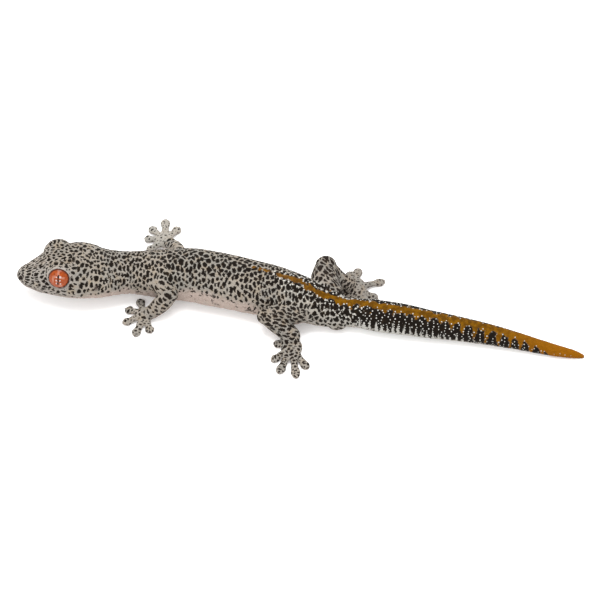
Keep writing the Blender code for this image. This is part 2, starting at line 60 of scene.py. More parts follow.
# x, y of the spine, half width, then heights of underside, widest line and back. Trunk and tail are sunk a
# little below the floor, where the hide is pressed flat.
BODY = (
    (-58.95, 0.45, 0.30, 4.35, 4.60, 4.90),
    (-58.50, 0.42, 1.30, 3.60, 4.60, 5.70),
    (-57.60, 0.35, 2.15, 3.00, 4.65, 6.35),
    (-56.25, 0.22, 3.05, 2.50, 4.70, 7.05),
    (-54.20, 0.22, 4.25, 2.10, 4.85, 8.20),
    (-52.10, 0.40, 5.25, 1.95, 5.00, 9.20),
    (-50.00, 0.55, 5.95, 1.90, 5.10, 9.90),
    (-47.90, 0.60, 6.45, 1.85, 5.20, 10.30),
    (-45.80, 0.60, 6.60, 1.85, 5.30, 10.35),
    (-43.75, 0.50, 6.40, 1.80, 5.30, 10.00),
    (-41.70, 0.40, 5.95, 1.70, 5.10, 9.35),
    (-39.60, 0.50, 5.45, 1.55, 4.90, 9.00),
    (-37.50, 0.70, 4.95, 1.30, 4.70, 8.80),
    (-35.40, 0.85, 4.65, 0.90, 4.50, 8.75),
    (-33.30, 0.90, 4.75, 0.45, 4.30, 8.85),
    (-31.25, 0.90, 5.00, 0.05, 4.20, 9.00),
    (-28.10, 0.75, 5.40, SUNK, 4.00, 9.30),
    (-22.90, 0.45, 5.85, SUNK, 3.80, 9.80),
    (-18.75, -0.50, 6.00, SUNK, 3.80, 10.00),
    (-14.60, -1.50, 5.95, SUNK, 3.80, 9.90),
    (-10.40, -2.70, 5.85, SUNK, 3.80, 9.80),
    (-6.25, -3.85, 5.65, SUNK, 3.80, 9.70),
    (-2.10, -5.20, 5.25, SUNK, 3.75, 9.45),
    (1.04, -6.20, 4.80, SUNK, 3.60, 8.80),
    (3.75, -7.25, 4.30, SUNK, 3.50, 8.10),
    (6.25, -8.10, 3.70, SUNK, 3.30, 7.30),
    (8.40, -8.45, 3.15, SUNK, 3.15, 6.60),
    (10.40, -8.60, 2.90, SUNK, 3.00, 6.15),
    (12.50, -8.85, 2.95, SUNK, 3.00, 6.15),
    (14.60, -9.30, 3.20, SUNK, 3.15, 6.45),
    (16.70, -9.80, 3.30, SUNK, 3.20, 6.60),
    (20.80, -10.50, 3.25, SUNK, 3.15, 6.45),
    (27.00, -11.65, 2.90, SUNK, 2.85, 5.80),
    (33.30, -12.70, 2.52, SUNK, 2.50, 5.10),
    (39.60, -13.95, 2.18, SUNK, 2.15, 4.35),
    (45.80, -15.45, 1.75, SUNK, 1.70, 3.50),
    (50.00, -16.58, 1.46, SUNK, 1.40, 2.92),
    (54.20, -17.60, 1.15, SUNK, 1.10, 2.28),
    (57.30, -18.10, 0.84, SUNK, 0.75, 1.52),
    (59.05, -18.32, 0.38, -0.08, 0.34, 0.74),
)
BODY_X, *BODY_COLUMNS = np.array(BODY).T


def smooth_column(ys, xs):
    """Values of one column at xs, and their slopes, on a curve that never overshoots its rows."""
    steps = np.diff(ys) / np.diff(BODY_X)
    inner = np.where(steps[:-1] * steps[1:] > 0.0,
                     2.0 * steps[:-1] * steps[1:] / (steps[:-1] + steps[1:] + 1e-12), 0.0)
    slopes = np.concatenate([steps[:1], inner, steps[-1:]])
    i = np.clip(np.searchsorted(BODY_X, xs, side="right") - 1, 0, len(BODY_X) - 2)
    span = BODY_X[i + 1] - BODY_X[i]
    t = np.clip((xs - BODY_X[i]) / span, 0.0, 1.0)
    a, b, c, d = ys[i], ys[i + 1], slopes[i] * span, slopes[i + 1] * span
    value = a + t * c + t * t * (3 * (b - a) - 2 * c - d) + t ** 3 * (2 * (a - b) + c + d)
    slope = (c + 2 * t * (3 * (b - a) - 2 * c - d) + 3 * t * t * (2 * (a - b) + c + d)) / span
    return value, slope


def body_at(xs):
    """Spine y, half width, underside, widest line, back and the spine's lean at each x."""
    xs = np.asarray(xs, dtype=float)
    columns = [smooth_column(ys, xs) for ys in BODY_COLUMNS]
    return [value for value, slope in columns] + [columns[0][1]]


def body_row(x):
    """The same values at a single x, as plain numbers."""
    return [float(value) for value in body_at(x)]


def powered(value, power):
    return math.copysign(abs(value) ** power, value)


def add_ring(bm, sides, place):
    """A circle of edges with each corner put where place says for its angle."""
    corners = bmesh.ops.create_circle(bm, segments=sides, radius=1.0)["verts"]
    for corner in corners:
        corner.co = place(math.atan2(corner.co.y, corner.co.x))
    return {edge for corner in corners for edge in corner.link_edges}


def join_rings(bm, rings):
    """Skins successive rings and closes both ends."""
    for near, far in zip(rings, rings[1:]):
        bmesh.ops.bridge_loops(bm, edges=list(near | far))
    for end in (rings[0], rings[-1]):
        bmesh.ops.edgeloop_fill(bm, edges=list(end))


def body_ring(bm, x):
    y, half, low, wide, high, lean = body_row(x)
    side = Vector((-lean, 1.0, 0.0)).normalized()
    to_head = min(max((NECK_X - x) / NECK_LENGTH, 0.0), 1.0)
    power = 2.0 / (BODY_SQUARENESS + (HEAD_SQUARENESS - BODY_SQUARENESS) * to_head)

    def place(angle):
        up, down = high - wide - SKIN_DEPTH, wide - low - SKIN_DEPTH
        rise = (up if math.sin(angle) > 0.0 else down) * powered(math.sin(angle), power)
        return Vector((x, y, wide + rise)) + side * (half - SKIN_DEPTH) * powered(math.cos(angle), power)

    return add_ring(bm, BODY_SIDES, place)


flesh = bmesh.new()
body_count = round((TAIL_END - SNOUT_TIP) / BODY_STEP)
body_stations = [SNOUT_TIP + (TAIL_END - SNOUT_TIP) * i / body_count for i in range(body_count + 1)]
body_stations[1:1] = [SNOUT_TIP + step for step in SNOUT_STEPS]
join_rings(flesh, [body_ring(flesh, x) for x in body_stations])

# Eye bulges and the pair of swellings behind the vent: round masses under the skin, the first over each
# eyeball on the brow, the second the glands at the root of the tail. They are sunk in the body's form.
# The head is held turned a little about its length, so the left eye (side -1) looks further up.
EYE_MIDDLE = {-1: (-49.92, -2.18, 7.67), 1: (-50.25, 3.03, 8.27)}
EYE_TURN_UP = {-1: math.radians(22.0), 1: math.radians(-8.0)}
EYE_TURN_FORWARD = math.radians(8.0)
BULGE_RADIUS = 2.88
BULGE_LENGTH = {-1: 1.04, 1: 1.13}
VENT_BULGE = (7.6, 1.75, 1.95)
VENT_BULGE_SIZE = (2.45, 1.85, 1.9)


def eye_frame(side):
    """Middle of the eye bulge, the way the eye looks, and two axes across it, for side -1 (left) or 1."""
    flat = math.cos(EYE_TURN_UP[side])
    look = Vector((-flat * math.sin(EYE_TURN_FORWARD), side * flat * math.cos(EYE_TURN_FORWARD),
                   math.sin(EYE_TURN_UP[side])))
    across = look.cross(UP).normalized()
    upward = across.cross(look).normalized()
    return Vector(EYE_MIDDLE[side]), look, across, upward


def spread_matrix(middle, axes, sizes):
    """Stretches a unit shape along three axes and moves it to a middle."""
    columns = Matrix([axis * size for axis, size in zip(axes, sizes)]).transposed()
    return Matrix.Translation(middle) @ columns.to_4x4()


def add_ball(bm, sides, rings, middle, axes, sizes):
    """A ball stretched to a half size along each of three axes."""
    made = bmesh.ops.create_uvsphere(bm, u_segments=sides, v_segments=rings, radius=1.0,
                                     matrix=spread_matrix(middle, axes, sizes))
    return made["verts"]


for side in (-1, 1):
    middle, look, across, upward = eye_frame(side)
    size = BULGE_RADIUS - SKIN_DEPTH
    add_ball(flesh, 40, 24, middle, (across, upward, look), (size * BULGE_LENGTH[side], size, size))
    y, *_, lean = body_row(VENT_BULGE[0])
    along, beside = Vector((1.0, lean, 0.0)).normalized(), Vector((-lean, 1.0, 0.0)).normalized()
    middle = Vector((VENT_BULGE[0], y + side * VENT_BULGE[1], VENT_BULGE[2]))
    add_ball(flesh, 32, 20, middle, (along, beside, UP), VENT_BULGE_SIZE)

# Limbs: slim arms and stouter legs, each with five toes that arch off the palm and end in a broad pad.
# Upper and lower lengths are round tubes along the bones' line, the palm is a low cushion.
LIMB_SIDES = 20
TOE_SIDES = 14
# Joint rows are x, y, z and the radius there; a palm is its middle and three half sizes.
LIMBS = (
    (((-29.9, -1.9, 5.6, 2.3), (-28.5, -4.1, 5.7, 2.0), (-26.9, -5.6, 5.5, 1.65)),
     ((-26.9, -5.6, 5.5, 1.6), (-28.6, -6.5, 3.6, 1.85), (-30.7, -7.2, 1.7, 1.5)),
     (-32.3, -7.5, 0.85), (1.95, 1.75, 0.85),
     ((-33.3, -3.4), (-35.9, -5.7), (-36.4, -9.2), (-34.2, -12.3), (-31.2, -11.5))),
    (((-29.9, 3.0, 5.4, 2.2), (-27.5, 5.0, 4.8, 1.8), (-24.9, 6.5, 3.8, 1.5)),
     ((-24.9, 6.5, 3.8, 1.45), (-25.8, 9.0, 2.7, 1.5), (-27.1, 11.4, 1.5, 1.25)),
     (-28.2, 12.7, 0.85), (1.85, 1.85, 0.85),
     ((-31.5, 10.5), (-32.0, 13.6), (-31.0, 16.4), (-28.1, 18.3), (-25.5, 16.3))),
    (((2.9, -8.4, 4.4, 2.7), (-2.0, -9.6, 4.5, 2.8), (-7.2, -10.7, 4.3, 1.75)),
     ((-7.2, -10.7, 4.3, 1.65), (-4.5, -12.1, 3.2, 2.0), (-1.8, -13.9, 1.9, 1.9)),
     (-1.75, -16.35, 0.9), (2.25, 2.35, 0.9),
     ((-5.0, -14.9), (-5.5, -19.3), (-4.2, -22.3), (-0.85, -23.45), (1.3, -21.2))),
    (((6.0, -5.3, 4.4, 3.2), (5.2, -1.3, 4.7, 3.0), (5.4, 2.3, 4.9, 2.25)),
     ((5.6, 2.2, 4.8, 1.9), (8.0, 0.4, 3.0, 1.8), (10.0, -0.3, 1.8, 1.65)),
     (11.3, -0.3, 0.9), (2.6, 3.1, 0.9),
     ((10.4, 4.1), (12.2, 4.9), (17.1, 1.9), (15.7, -2.5), (13.9, -3.8))),
)
TOE_Z = 0.55
TOE_ROOT = 0.22
TOE_SUNK = 0.05
TOE_PAD_FROM = 0.72
TOE_SHAFT = (0.72, 0.56)
TOE_PAD = (1.04, 0.55)
TOE_END = (0.40, 0.30)
TOE_ARCH = 0.30
# Part of the toe's length, then its half width and half height.
TOE_SHAPE = (
    (0.00, TOE_SHAFT[0] * 1.15, TOE_SHAFT[1] * 1.10),
    (0.35, TOE_SHAFT[0] * 1.05, TOE_SHAFT[1]),
    (0.58, TOE_SHAFT[0], TOE_SHAFT[1] * 0.95),
    (TOE_PAD_FROM, TOE_PAD[0] * 0.82, TOE_PAD[1]),
    (0.86, TOE_PAD[0], TOE_PAD[1]),
    (0.98, TOE_PAD[0] * 0.92, TOE_PAD[1] * 0.90),
    (1.07, TOE_PAD[0] * 0.66, TOE_PAD[1] * 0.75),
    (1.13, TOE_END[0], TOE_END[1]),
)


def curved(rows, pieces):
    """Extra rows along a smooth curve through the given ones."""
    out, last = [], len(rows) - 1
    for i in range(last):
        four = [rows[max(i - 1, 0)], rows[i], rows[i + 1], rows[min(i + 2, last)]]
        for j in range(pieces):
            t = j / pieces
            out.append([0.5 * (2 * p1 + (p2 - p0) * t + (2 * p0 - 5 * p1 + 4 * p2 - p3) * t * t
                               + (3 * p1 - p0 - 3 * p2 + p3) * t ** 3)
                        for p0, p1, p2, p3 in zip(*four)])
    out.append(list(rows[last]))
    return out


def add_tube(bm, stations, sides):
    """A closed tube along stations of (middle, half width, half height)."""
    rings = []
    for i, (middle, wide, tall) in enumerate(stations):
        along = (stations[min(i + 1, len(stations) - 1)][0] - stations[max(i - 1, 0)][0]).normalized()
        beside = along.cross(UP).normalized()
        up = beside.cross(along).normalized()
        rings.append(add_ring(bm, sides, lambda angle: middle + beside * wide * math.cos(angle)
                              + up * tall * math.sin(angle)))
    join_rings(bm, rings)


def toe_stations(palm, tip):
    """Stations of a toe, from its root inside the palm to the end of its pad."""
    tip = Vector((*tip, TOE_Z))
    root = palm.lerp(tip, TOE_ROOT)
    out = []
    for part, wide, tall in TOE_SHAPE:
        spot = root.lerp(tip, part)
        spot.z = tall - TOE_SUNK + TOE_ARCH * math.sin(math.pi * min(part / TOE_PAD_FROM, 1.0))
        out.append((spot, wide, tall))
    return out


WORLD_AXES = (Vector((1, 0, 0)), Vector((0, 1, 0)), UP)
for upper, lower, palm, palm_size, toes in LIMBS:
    palm = Vector(palm)
    add_ball(flesh, 28, 18, palm, WORLD_AXES, palm_size)
    for rows in (upper, lower):
        stations = [(Vector(row[:3]), row[3], row[3]) for row in curved(rows, 5)]
        add_tube(flesh, stations, LIMB_SIDES)
        for middle, radius, _ in (stations[0], stations[-1]):
            bmesh.ops.create_uvsphere(flesh, u_segments=24, v_segments=16, radius=radius,
                                      matrix=Matrix.Translation(middle))
    end, before = stations[-1], stations[-4]
    add_tube(flesh, [
        (end[0].lerp(before[0], 0.5), end[1], end[2]),
        (end[0].lerp(palm, 0.6), end[1] * 0.95, end[2] * 0.8),
        (palm.lerp(end[0], 0.1), palm_size[0] * 0.72, palm_size[2] * 0.85),
    ], LIMB_SIDES)
    for tip in toes:
        shape = toe_stations(palm, tip)
        rows = curved([(*spot, wide, tall) for spot, wide, tall in shape], 2)
        add_tube(flesh, [(Vector(row[:3]), row[3], row[4]) for row in rows], TOE_SIDES)

# Skin: all those forms drawn over with one continuous hide, cast as one piece. The folds where limbs
# leave the body, the rims round the eyes, the closed mouth, nostrils and ears are worked into it.
SKIN_CELL = 0.205
SKIN_FLAT = 0.02
SMOOTHING = (0.55, -0.57, 0.55, -0.57, 0.55, -0.4)


def as_mesh(bm, name):
    """The finished form as a mesh."""
    made = bpy.data.meshes.new(name)
    bm.to_mesh(made)
    bm.free()
    return made


def placed(name, data):
    """A new object of the scene."""
    made = bpy.data.objects.new(name, data)
    bpy.context.scene.collection.objects.link(made)
    return made


def reworked(mesh, kind, **settings):
    """A new mesh that one modifier makes of the mesh given."""
    holder = placed("reworked", mesh)
    modifier = holder.modifiers.new("rework", kind)
    for key, value in settings.items():
        setattr(modifier, key, value)
    bpy.context.view_layer.update()
    made = bpy.data.meshes.new_from_object(holder.evaluated_get(bpy.context.evaluated_depsgraph_get()))
    bpy.data.objects.remove(holder, do_unlink=True)
    return made


def read_rows(items, key, per_item, per_row, kind):
    """Values of a mesh's items as the rows of an array."""
    values = np.empty(len(items) * per_item, dtype=kind)
    items.foreach_get(key, values)
    return values.reshape(-1, per_row)


bmesh.ops.recalc_face_normals(flesh, faces=flesh.faces)
form_mesh = as_mesh(flesh, "flesh_form")
hide_mesh = reworked(form_mesh, "REMESH", mode="VOXEL", voxel_size=SKIN_CELL, use_smooth_shade=True)
points = read_rows(hide_mesh.vertices, "co", 3, 3, float)
quads = read_rows(hide_mesh.loops, "vertex_index", 1, 4, np.int32)
edges = read_rows(hide_mesh.edges, "vertices", 2, 2, np.int32)
count = len(points)
pairs = np.concatenate([edges, quads[:, (0, 2)], quads[:, (1, 3)]])
here = np.concatenate([pairs[:, 0], pairs[:, 1]])
there = np.concatenate([pairs[:, 1], pairs[:, 0]])


def surface_normals(spots):
    """The way out of the hide at each of its points."""
    faced = np.cross(spots[quads[:, 2]] - spots[quads[:, 0]], spots[quads[:, 3]] - spots[quads[:, 1]])
    total = np.stack([sum(np.bincount(quads[:, k], faced[:, c], count) for k in range(4))
                      for c in range(3)], 1)
    return total / (np.linalg.norm(total, axis=1, keepdims=True) + 1e-12)


def lengths(ways):
    return np.linalg.norm(ways, axis=1)


def eased(low, high, value):
    """Rises smoothly from 0 at low to 1 at high, or falls where low is the larger."""
    part = np.clip((value - low) / (high - low), 0.0, 1.0)
    return part * part * (3.0 - 2.0 * part)


def bump(gap, middle, width):
    """A soft ridge, one high where gap is at middle."""
    return np.exp(-((gap - middle) / width) ** 2)


for rate in SMOOTHING:
    shares = np.bincount(here, minlength=count)
    middle = np.stack([np.bincount(here, points[there, c], count) / shares for c in range(3)], 1)
    points += rate * (middle - points)

# Where each point of the hide lies: along the body, round it from the middle of the back (positive to
# the animal's left), and how far out on a limb.
LIMBS_FROM = -41.0
LIMBS_TO = 18.5
PALM_RADII = (1.2, 1.3)
TOE_RADIUS = 0.8
# Numbers of the limbs, left and right, and of the lengths of each.
LEFT_ARM, RIGHT_ARM, LEFT_LEG, RIGHT_LEG = range(4)
UPPER, LOWER, PALM, TOE = range(4)

station = points[:, 0].copy()
for _ in range(3):
    spine, *_, lean = body_at(station)
    station = np.clip(points[:, 0] + lean * (points[:, 1] - spine), SNOUT_TIP, TAIL_END)
    station = (station + points[:, 0] * lean ** 2) / (1.0 + lean ** 2)
spine, half, low, wide, high, lean = body_at(station)
length = np.sqrt(1.0 + lean ** 2)
across_body = (points[:, 1] - spine - lean * (points[:, 0] - station)) / length
above = points[:, 2] - wide
rise = np.where(above > 0.0, high - wide, wide - low)
turn = np.degrees(np.arctan2(-across_body / half, above / rise))
out_of_body = ((np.abs(across_body) / half) ** BODY_SQUARENESS
               + (np.abs(above) / rise) ** BODY_SQUARENESS) ** (1 / BODY_SQUARENESS) - 1.0
bulge_gap = np.min([lengths(points - np.array(eye_frame(side)[0])) for side in (-1, 1)], axis=0)
limb = eased(0.15, 0.9, out_of_body * half) * (bulge_gap > BULGE_RADIUS + 0.6)
limb *= (points[:, 0] > LIMBS_FROM) & (points[:, 0] < LIMBS_TO)
along_body = np.stack([1.0 / length, lean / length, np.zeros(count)], 1)

segments = []
for number, (upper, lower, palm, palm_size, toes) in enumerate(LIMBS):
    rows = [(a[:3], b[:3], a[3], b[3], kind) for kind, length_rows in ((UPPER, upper), (LOWER, lower))
            for a, b in zip(length_rows, length_rows[1:])]
    rows.append((lower[2][:3], palm, *PALM_RADII, PALM))
    rows += [(palm, (*tip, TOE_Z), TOE_RADIUS, TOE_RADIUS, TOE) for tip in toes]
    segments += [(number, place, *row) for place, row in enumerate(rows)]
nearest = np.full(count, np.inf)
limb_kind, limb_number, limb_place = np.zeros((3, count), dtype=int)
limb_part, limb_round = np.zeros((2, count))
limb_way = np.zeros((count, 3))
for number, place, start, end, start_radius, end_radius, kind in segments:
    way = np.subtract(end, start)
    part = np.clip((points - start) @ way / (way @ way), 0.0, 1.0)
    off = points - (start + part[:, None] * way)
    gap = lengths(off) / (start_radius + (end_radius - start_radius) * part)
    nearer = gap < nearest
    nearest[nearer] = gap[nearer]
    limb_kind[nearer], limb_number[nearer], limb_place[nearer] = kind, number, place
    limb_part[nearer] = part[nearer]
    limb_way[nearer] = way / np.linalg.norm(way)
    beside = np.cross(way, UP)
    beside /= np.linalg.norm(beside)
    limb_round[nearer] = np.arctan2(off[nearer] @ beside, off[nearer, 2])

# The eye's opening: the hide dips in behind the lens and stands round it as a fleshy rim.
LENS_OUT = 1.65
LENS_RADIUS = 2.15
LENS_DEPTH = 1.2
RIM_CREST = 2.45
RIM_REACH = 3.3
RIM_RADII = (0.0, 1.92, 2.08, 2.2, 2.38, 2.56, 2.8)
RIM_HEIGHTS = (0.75, 0.75, 1.15, 1.78, 1.90, 1.74, 1.35)
pit, rim, ring_mask = np.zeros((3, count))
for side in (-1, 1):
    middle, look, across, upward = (np.array(value) for value in eye_frame(side))
    off = points - middle
    ahead = off @ look
    radius = lengths(off - ahead[:, None] * look)
    in_front = ahead > 0.2
    near = in_front & (radius < RIM_REACH)
    held = 1.0 - eased(RIM_CREST, RIM_REACH, radius)
    wanted = np.interp(radius, RIM_RADII, RIM_HEIGHTS)
    shift = np.where(near, held * (wanted - ahead), 0.0)
    shift = np.where(radius > RIM_CREST, np.maximum(shift, -0.12), shift)
    points += shift[:, None] * look
    pit = np.maximum(pit, near * (1.0 - eased(2.0, 2.16, radius)))
    rim = np.maximum(rim, in_front * bump(radius, 2.55, 0.34))
    ring_mask = np.maximum(ring_mask, in_front * bump(radius, 2.40, 0.32))

# The mouth's line runs round the snout and back under the eye, with a raised lip on each side of it.
MOUTH_CORNER_X = -46.9
MOUTH_TIP_Z = 3.95
MOUTH_CORNER_Z = 4.85
MOUTH_POINTS = 60
NOSTRIL = (-57.75, 1.715, 5.75)
EAR = (-42.4, 5.35, 6.6)
EAR_SIZE = (0.42, 0.9, 0.72)

mouth_start = SNOUT_TIP + 0.12
mouth = []
for i in range(MOUTH_POINTS + 1):
    part = i / MOUTH_POINTS
    x = mouth_start + (MOUTH_CORNER_X - mouth_start) * part ** 1.9
    z = MOUTH_TIP_Z + (MOUTH_CORNER_Z - MOUTH_TIP_Z) * part ** 1.5
    y, body_half, body_low, body_wide, body_high, _ = body_row(x)
    reach = body_high - body_wide if z > body_wide else body_wide - body_low
    inside = min(abs(z - body_wide) / reach, 1.0)
    out = body_half * (1.0 - inside ** HEAD_SQUARENESS) ** (1.0 / HEAD_SQUARENESS)
    mouth += [(x, y - out, z), (x, y + out, z)]
on_head = np.flatnonzero(points[:, 0] < -40.0)
mouth_gap = np.full(count, np.inf)
for spot in mouth:
    gap = lengths((points[on_head] - spot) * (0.8, 1.0, 1.0))
    mouth_gap[on_head] = np.minimum(mouth_gap[on_head], gap)
normals = surface_normals(points)
lift = -0.17 * bump(mouth_gap, 0.0, 0.17) + 0.05 * bump(mouth_gap, 0.42, 0.2)
# Painted shade darkens the mouth's line, the nostrils and the ears.
hollow = bump(mouth_gap, 0.0, 0.16)
for side in (-1, 1):
    off = points - (NOSTRIL[0], body_row(NOSTRIL[0])[0] + side * NOSTRIL[1], NOSTRIL[2])
    gap = lengths(off)
    lift += -0.30 * bump(gap, 0.0, 0.26) + 0.07 * bump(gap, 0.5, 0.18)
    hollow = np.maximum(hollow, bump(gap, 0.0, 0.27))
    off = points - (EAR[0], body_row(EAR[0])[0] + side * EAR[1], EAR[2])
    gap = lengths(off / EAR_SIZE)
    lift += -0.42 * np.exp(-gap ** 4) + 0.07 * bump(gap, 1.35, 0.35)
    hollow = np.maximum(hollow, np.exp(-(gap / 0.9) ** 4))


def diffuser(way, pull):
    """Weights that spread values further along a direction of the hide than across it."""
    step = points[there] - points[here]
    size = lengths(step) + 1e-9
    along = np.sum(step * (way[here] + way[there]) * 0.5, axis=1) / size
    weight = (1.0 + pull * (2.0 * along ** 2 - 1.0)) / size ** 4
    total = np.bincount(here, weight, count)

    def spread(values, times):
        for _ in range(times):
            values = np.bincount(here, weight * values[there], count) / total
        return values

    return spread


def unit(values):
    """The values moved and scaled to a mean of 0 and a spread of 1."""
    return (values - values.mean()) / (values.std() + 1e-12)


def by_x(xs, ys):
    """Values of a table along the animal at each point of the hide."""
    return np.interp(station, xs, ys)


def one_long(ways):
    """Directions at the length of one."""
    return ways / (np.linalg.norm(ways, axis=1, keepdims=True) + 1e-9)


# Small folds run round the body and limbs, deepest on the neck, the flanks and behind the arms.
FOLD_X = (-59, -46, -40, -34, -20, 0, 12, 20, 59)
FOLD_DEPTH = (0.0, 0.01, 0.05, 0.06, 0.035, 0.045, 0.04, 0.02, 0.012)
LIMB_FOLD_DEPTH = 0.03
FOLD_PULL = 0.9
random = np.random.default_rng(11)
on_limb = limb > 0.5
body_ring_way = one_long(np.cross(normals, along_body))
limb_ring_way = one_long(np.cross(normals, limb_way))
fold_way = np.where(on_limb[:, None], limb_ring_way, body_ring_way)
fold_spread = diffuser(fold_way, FOLD_PULL)
folds = unit(fold_spread(random.standard_normal(count), 10) - fold_spread(random.standard_normal(count), 40))
from_back = np.abs(turn)
fold_depth = by_x(FOLD_X, FOLD_DEPTH) * (0.35 + 0.65 * eased(40.0, 85.0, from_back))
fold_depth = np.where(on_limb, LIMB_FOLD_DEPTH, fold_depth)
points += normals * (lift + fold_depth * np.clip(folds, -1.8, 1.8) * (1.0 - pit) * (1.0 - rim))[:, None]
points[:, 2] = np.maximum(points[:, 2], SKIN_FLAT)
normals = surface_normals(points)

# Markings: black blots close together on a pale net, drawn out across the neck and limbs and along the
# snout, smaller on head and feet; a golden band on the tail between black flanks; a plain pinkish belly.
# Each blot has its own seed on the hide and grows until the net between it and its neighbours is left.
BLOT_SHARE = 0.80
UNREACHED = 5.0
plain_spread = diffuser(fold_way, 0.0)


def random_field(times):
    """Random values over the hide, smoother the more times they are spread."""
    return unit(plain_spread(random.standard_normal(count), times))


cloud = random_field(60)
speckle = random_field(2)
ragged = np.stack([random_field(9) for _ in range(3)], 1)

# Each blot's long axis: round the body, along the face, across the arms, and slantwise over the thighs.
FACE_TO = -47.5
SLANTS = {(LEFT_ARM, UPPER): (-0.83, 0.43, 0.36), (LEFT_ARM, LOWER): (-0.83, 0.43, 0.36),
          (LEFT_LEG, UPPER): (-0.82, 0.44, 0.36), (LEFT_LEG, LOWER): (-1.0, 0.07, 0.05),
          (RIGHT_LEG, UPPER): (-0.41, 0.70, 0.59)}
leaning = 0.22 * eased(-30.0, -22.0, station)[:, None]
body_way = np.where(station[:, None] < FACE_TO, along_body, body_ring_way - leaning * along_body)
limb_slant = limb_ring_way.copy()
for (number, kind), slant in SLANTS.items():
    limb_slant[(limb_number == number) & (limb_kind == kind)] = slant
blot_way = np.where(on_limb[:, None], limb_slant, body_way)
blot_way = one_long(blot_way - normals * np.sum(blot_way * normals, axis=1, keepdims=True))

# Distance between blots, how much longer than wide they are, and the width of the net between them.
BLOT_X = (-59, -55, -50, -47, -43, -40, -34, -27, -21, -13.5, -5, 4, 14)
side_from = by_x((-46.0, -40.0), (4.0, 15.0))
down_side = eased(0.0, 1.0, (from_back - side_from) / 30.0)
arm = on_limb & (limb_number <= RIGHT_ARM)
far_leg = on_limb & (limb_number == RIGHT_LEG)
limb_end = on_limb & (limb_kind >= PALM)
far_end = limb_end & (limb_number % 2 == 1)
on_bulge = bulge_gap < BULGE_RADIUS + 0.35


def by_side(back, side):
    """Values that follow one table along the back and another along the side."""
    return by_x(BLOT_X, back) * (1.0 - down_side) + by_x(BLOT_X, side) * down_side


blot_gap = by_side((0.86, 0.86, 0.87, 0.92, 0.95, 1.10, 1.02, 1.12, 1.28, 1.24, 1.16, 1.28, 1.12),
                   (0.86, 0.86, 0.94, 1.22, 1.29, 1.00, 0.96, 0.98, 0.99, 1.27, 1.14, 1.28, 1.12))
blot_gap = np.where(on_bulge, 0.82, blot_gap)
blot_gap = np.where(on_limb, np.choose(limb_kind, (1.06, 1.30, 0.92, 0.80)), blot_gap)
blot_gap = np.where(far_leg & (limb_kind == UPPER), 1.42, blot_gap)
blot_gap = np.where(far_leg & (limb_kind == LOWER), 1.38 - 0.45 * limb_part, blot_gap)
blot_gap = np.where(arm & ~limb_end, 1.40, blot_gap)
blot_stretch = by_side((1.46, 1.48, 1.36, 1.16, 1.08, 1.42, 1.45, 1.30, 1.22, 1.20, 1.26, 1.24, 1.28),
                       (1.46, 1.48, 1.36, 1.22, 1.20, 1.66, 1.40, 1.36, 1.42, 1.30, 1.42, 1.26, 1.28))
blot_stretch = np.where(on_limb, np.where(limb_end, 1.24, 1.58), blot_stretch)
net_width = by_side((0.29, 0.29, 0.28, 0.27, 0.26, 0.26, 0.26, 0.23, 0.20, 0.20, 0.22, 0.24, 0.25),
                    (0.29, 0.29, 0.31, 0.32, 0.31, 0.28, 0.28, 0.28, 0.28, 0.29, 0.26, 0.25, 0.25))
net_width = np.where(on_limb, np.choose(limb_kind, (0.25, 0.23, 0.31, 0.33)), net_width)
net_width += 0.11 * arm + 0.03 * on_bulge + 0.12 * far_end
net_width += 0.10 * limb_part * (far_leg & (limb_kind == LOWER))

shifted = points + 0.11 * blot_gap[:, None] * ragged
hide_tree = KDTree(count)
for i, spot in enumerate(points):
    hide_tree.insert(spot, i)
hide_tree.balance()
reached = np.full((count, 3), UNREACHED)
free = np.ones(count, dtype=bool)
for seed in random.permutation(count):
    if not free[seed]:
        continue
    reach = 2.0 * blot_gap[seed] * blot_stretch[seed]
    found = np.array([item[1] for item in hide_tree.find_range(points[seed], reach)])
    off = shifted[found] - shifted[seed]
    along = off @ blot_way[seed]
    across = np.sum(off * off, axis=1) - along ** 2
    grown = np.sqrt((along / blot_stretch[seed]) ** 2 + np.maximum(across, 0.0) * blot_stretch[seed] ** 2)
    grown = grown / blot_gap[seed]
    free[found[grown < BLOT_SHARE]] = False
    grown = grown + 0.25 * random.random()
    reached[found] = np.sort(np.concatenate([reached[found], grown[:, None]], 1), 1)[:, :3]

# Belly, throat and the undersides of the limbs fade to plain skin through ever smaller flecks.
BELLY_X = (-59, -52, -46, -41, -36, -30, -24, -18, -14, -10.4, -6, 2, 6, 12, 20, 59)
BELLY_TURN = (112, 110, 98, 80, 78, 82, 68, 68, 68, 70, 80, 104, 124, 116, 114, 124)
off_limb = 1.0 - limb
to_belly = from_back + 4.0 * cloud - by_x(BELLY_X, BELLY_TURN)
under_limb = eased(0.15, 0.6, -normals[:, 2]) * limb
belly = np.maximum(eased(-8.0, 14.0, to_belly) * off_limb, under_limb)
fading = np.maximum(eased(-20.0, 34.0, to_belly) * off_limb, under_limb)

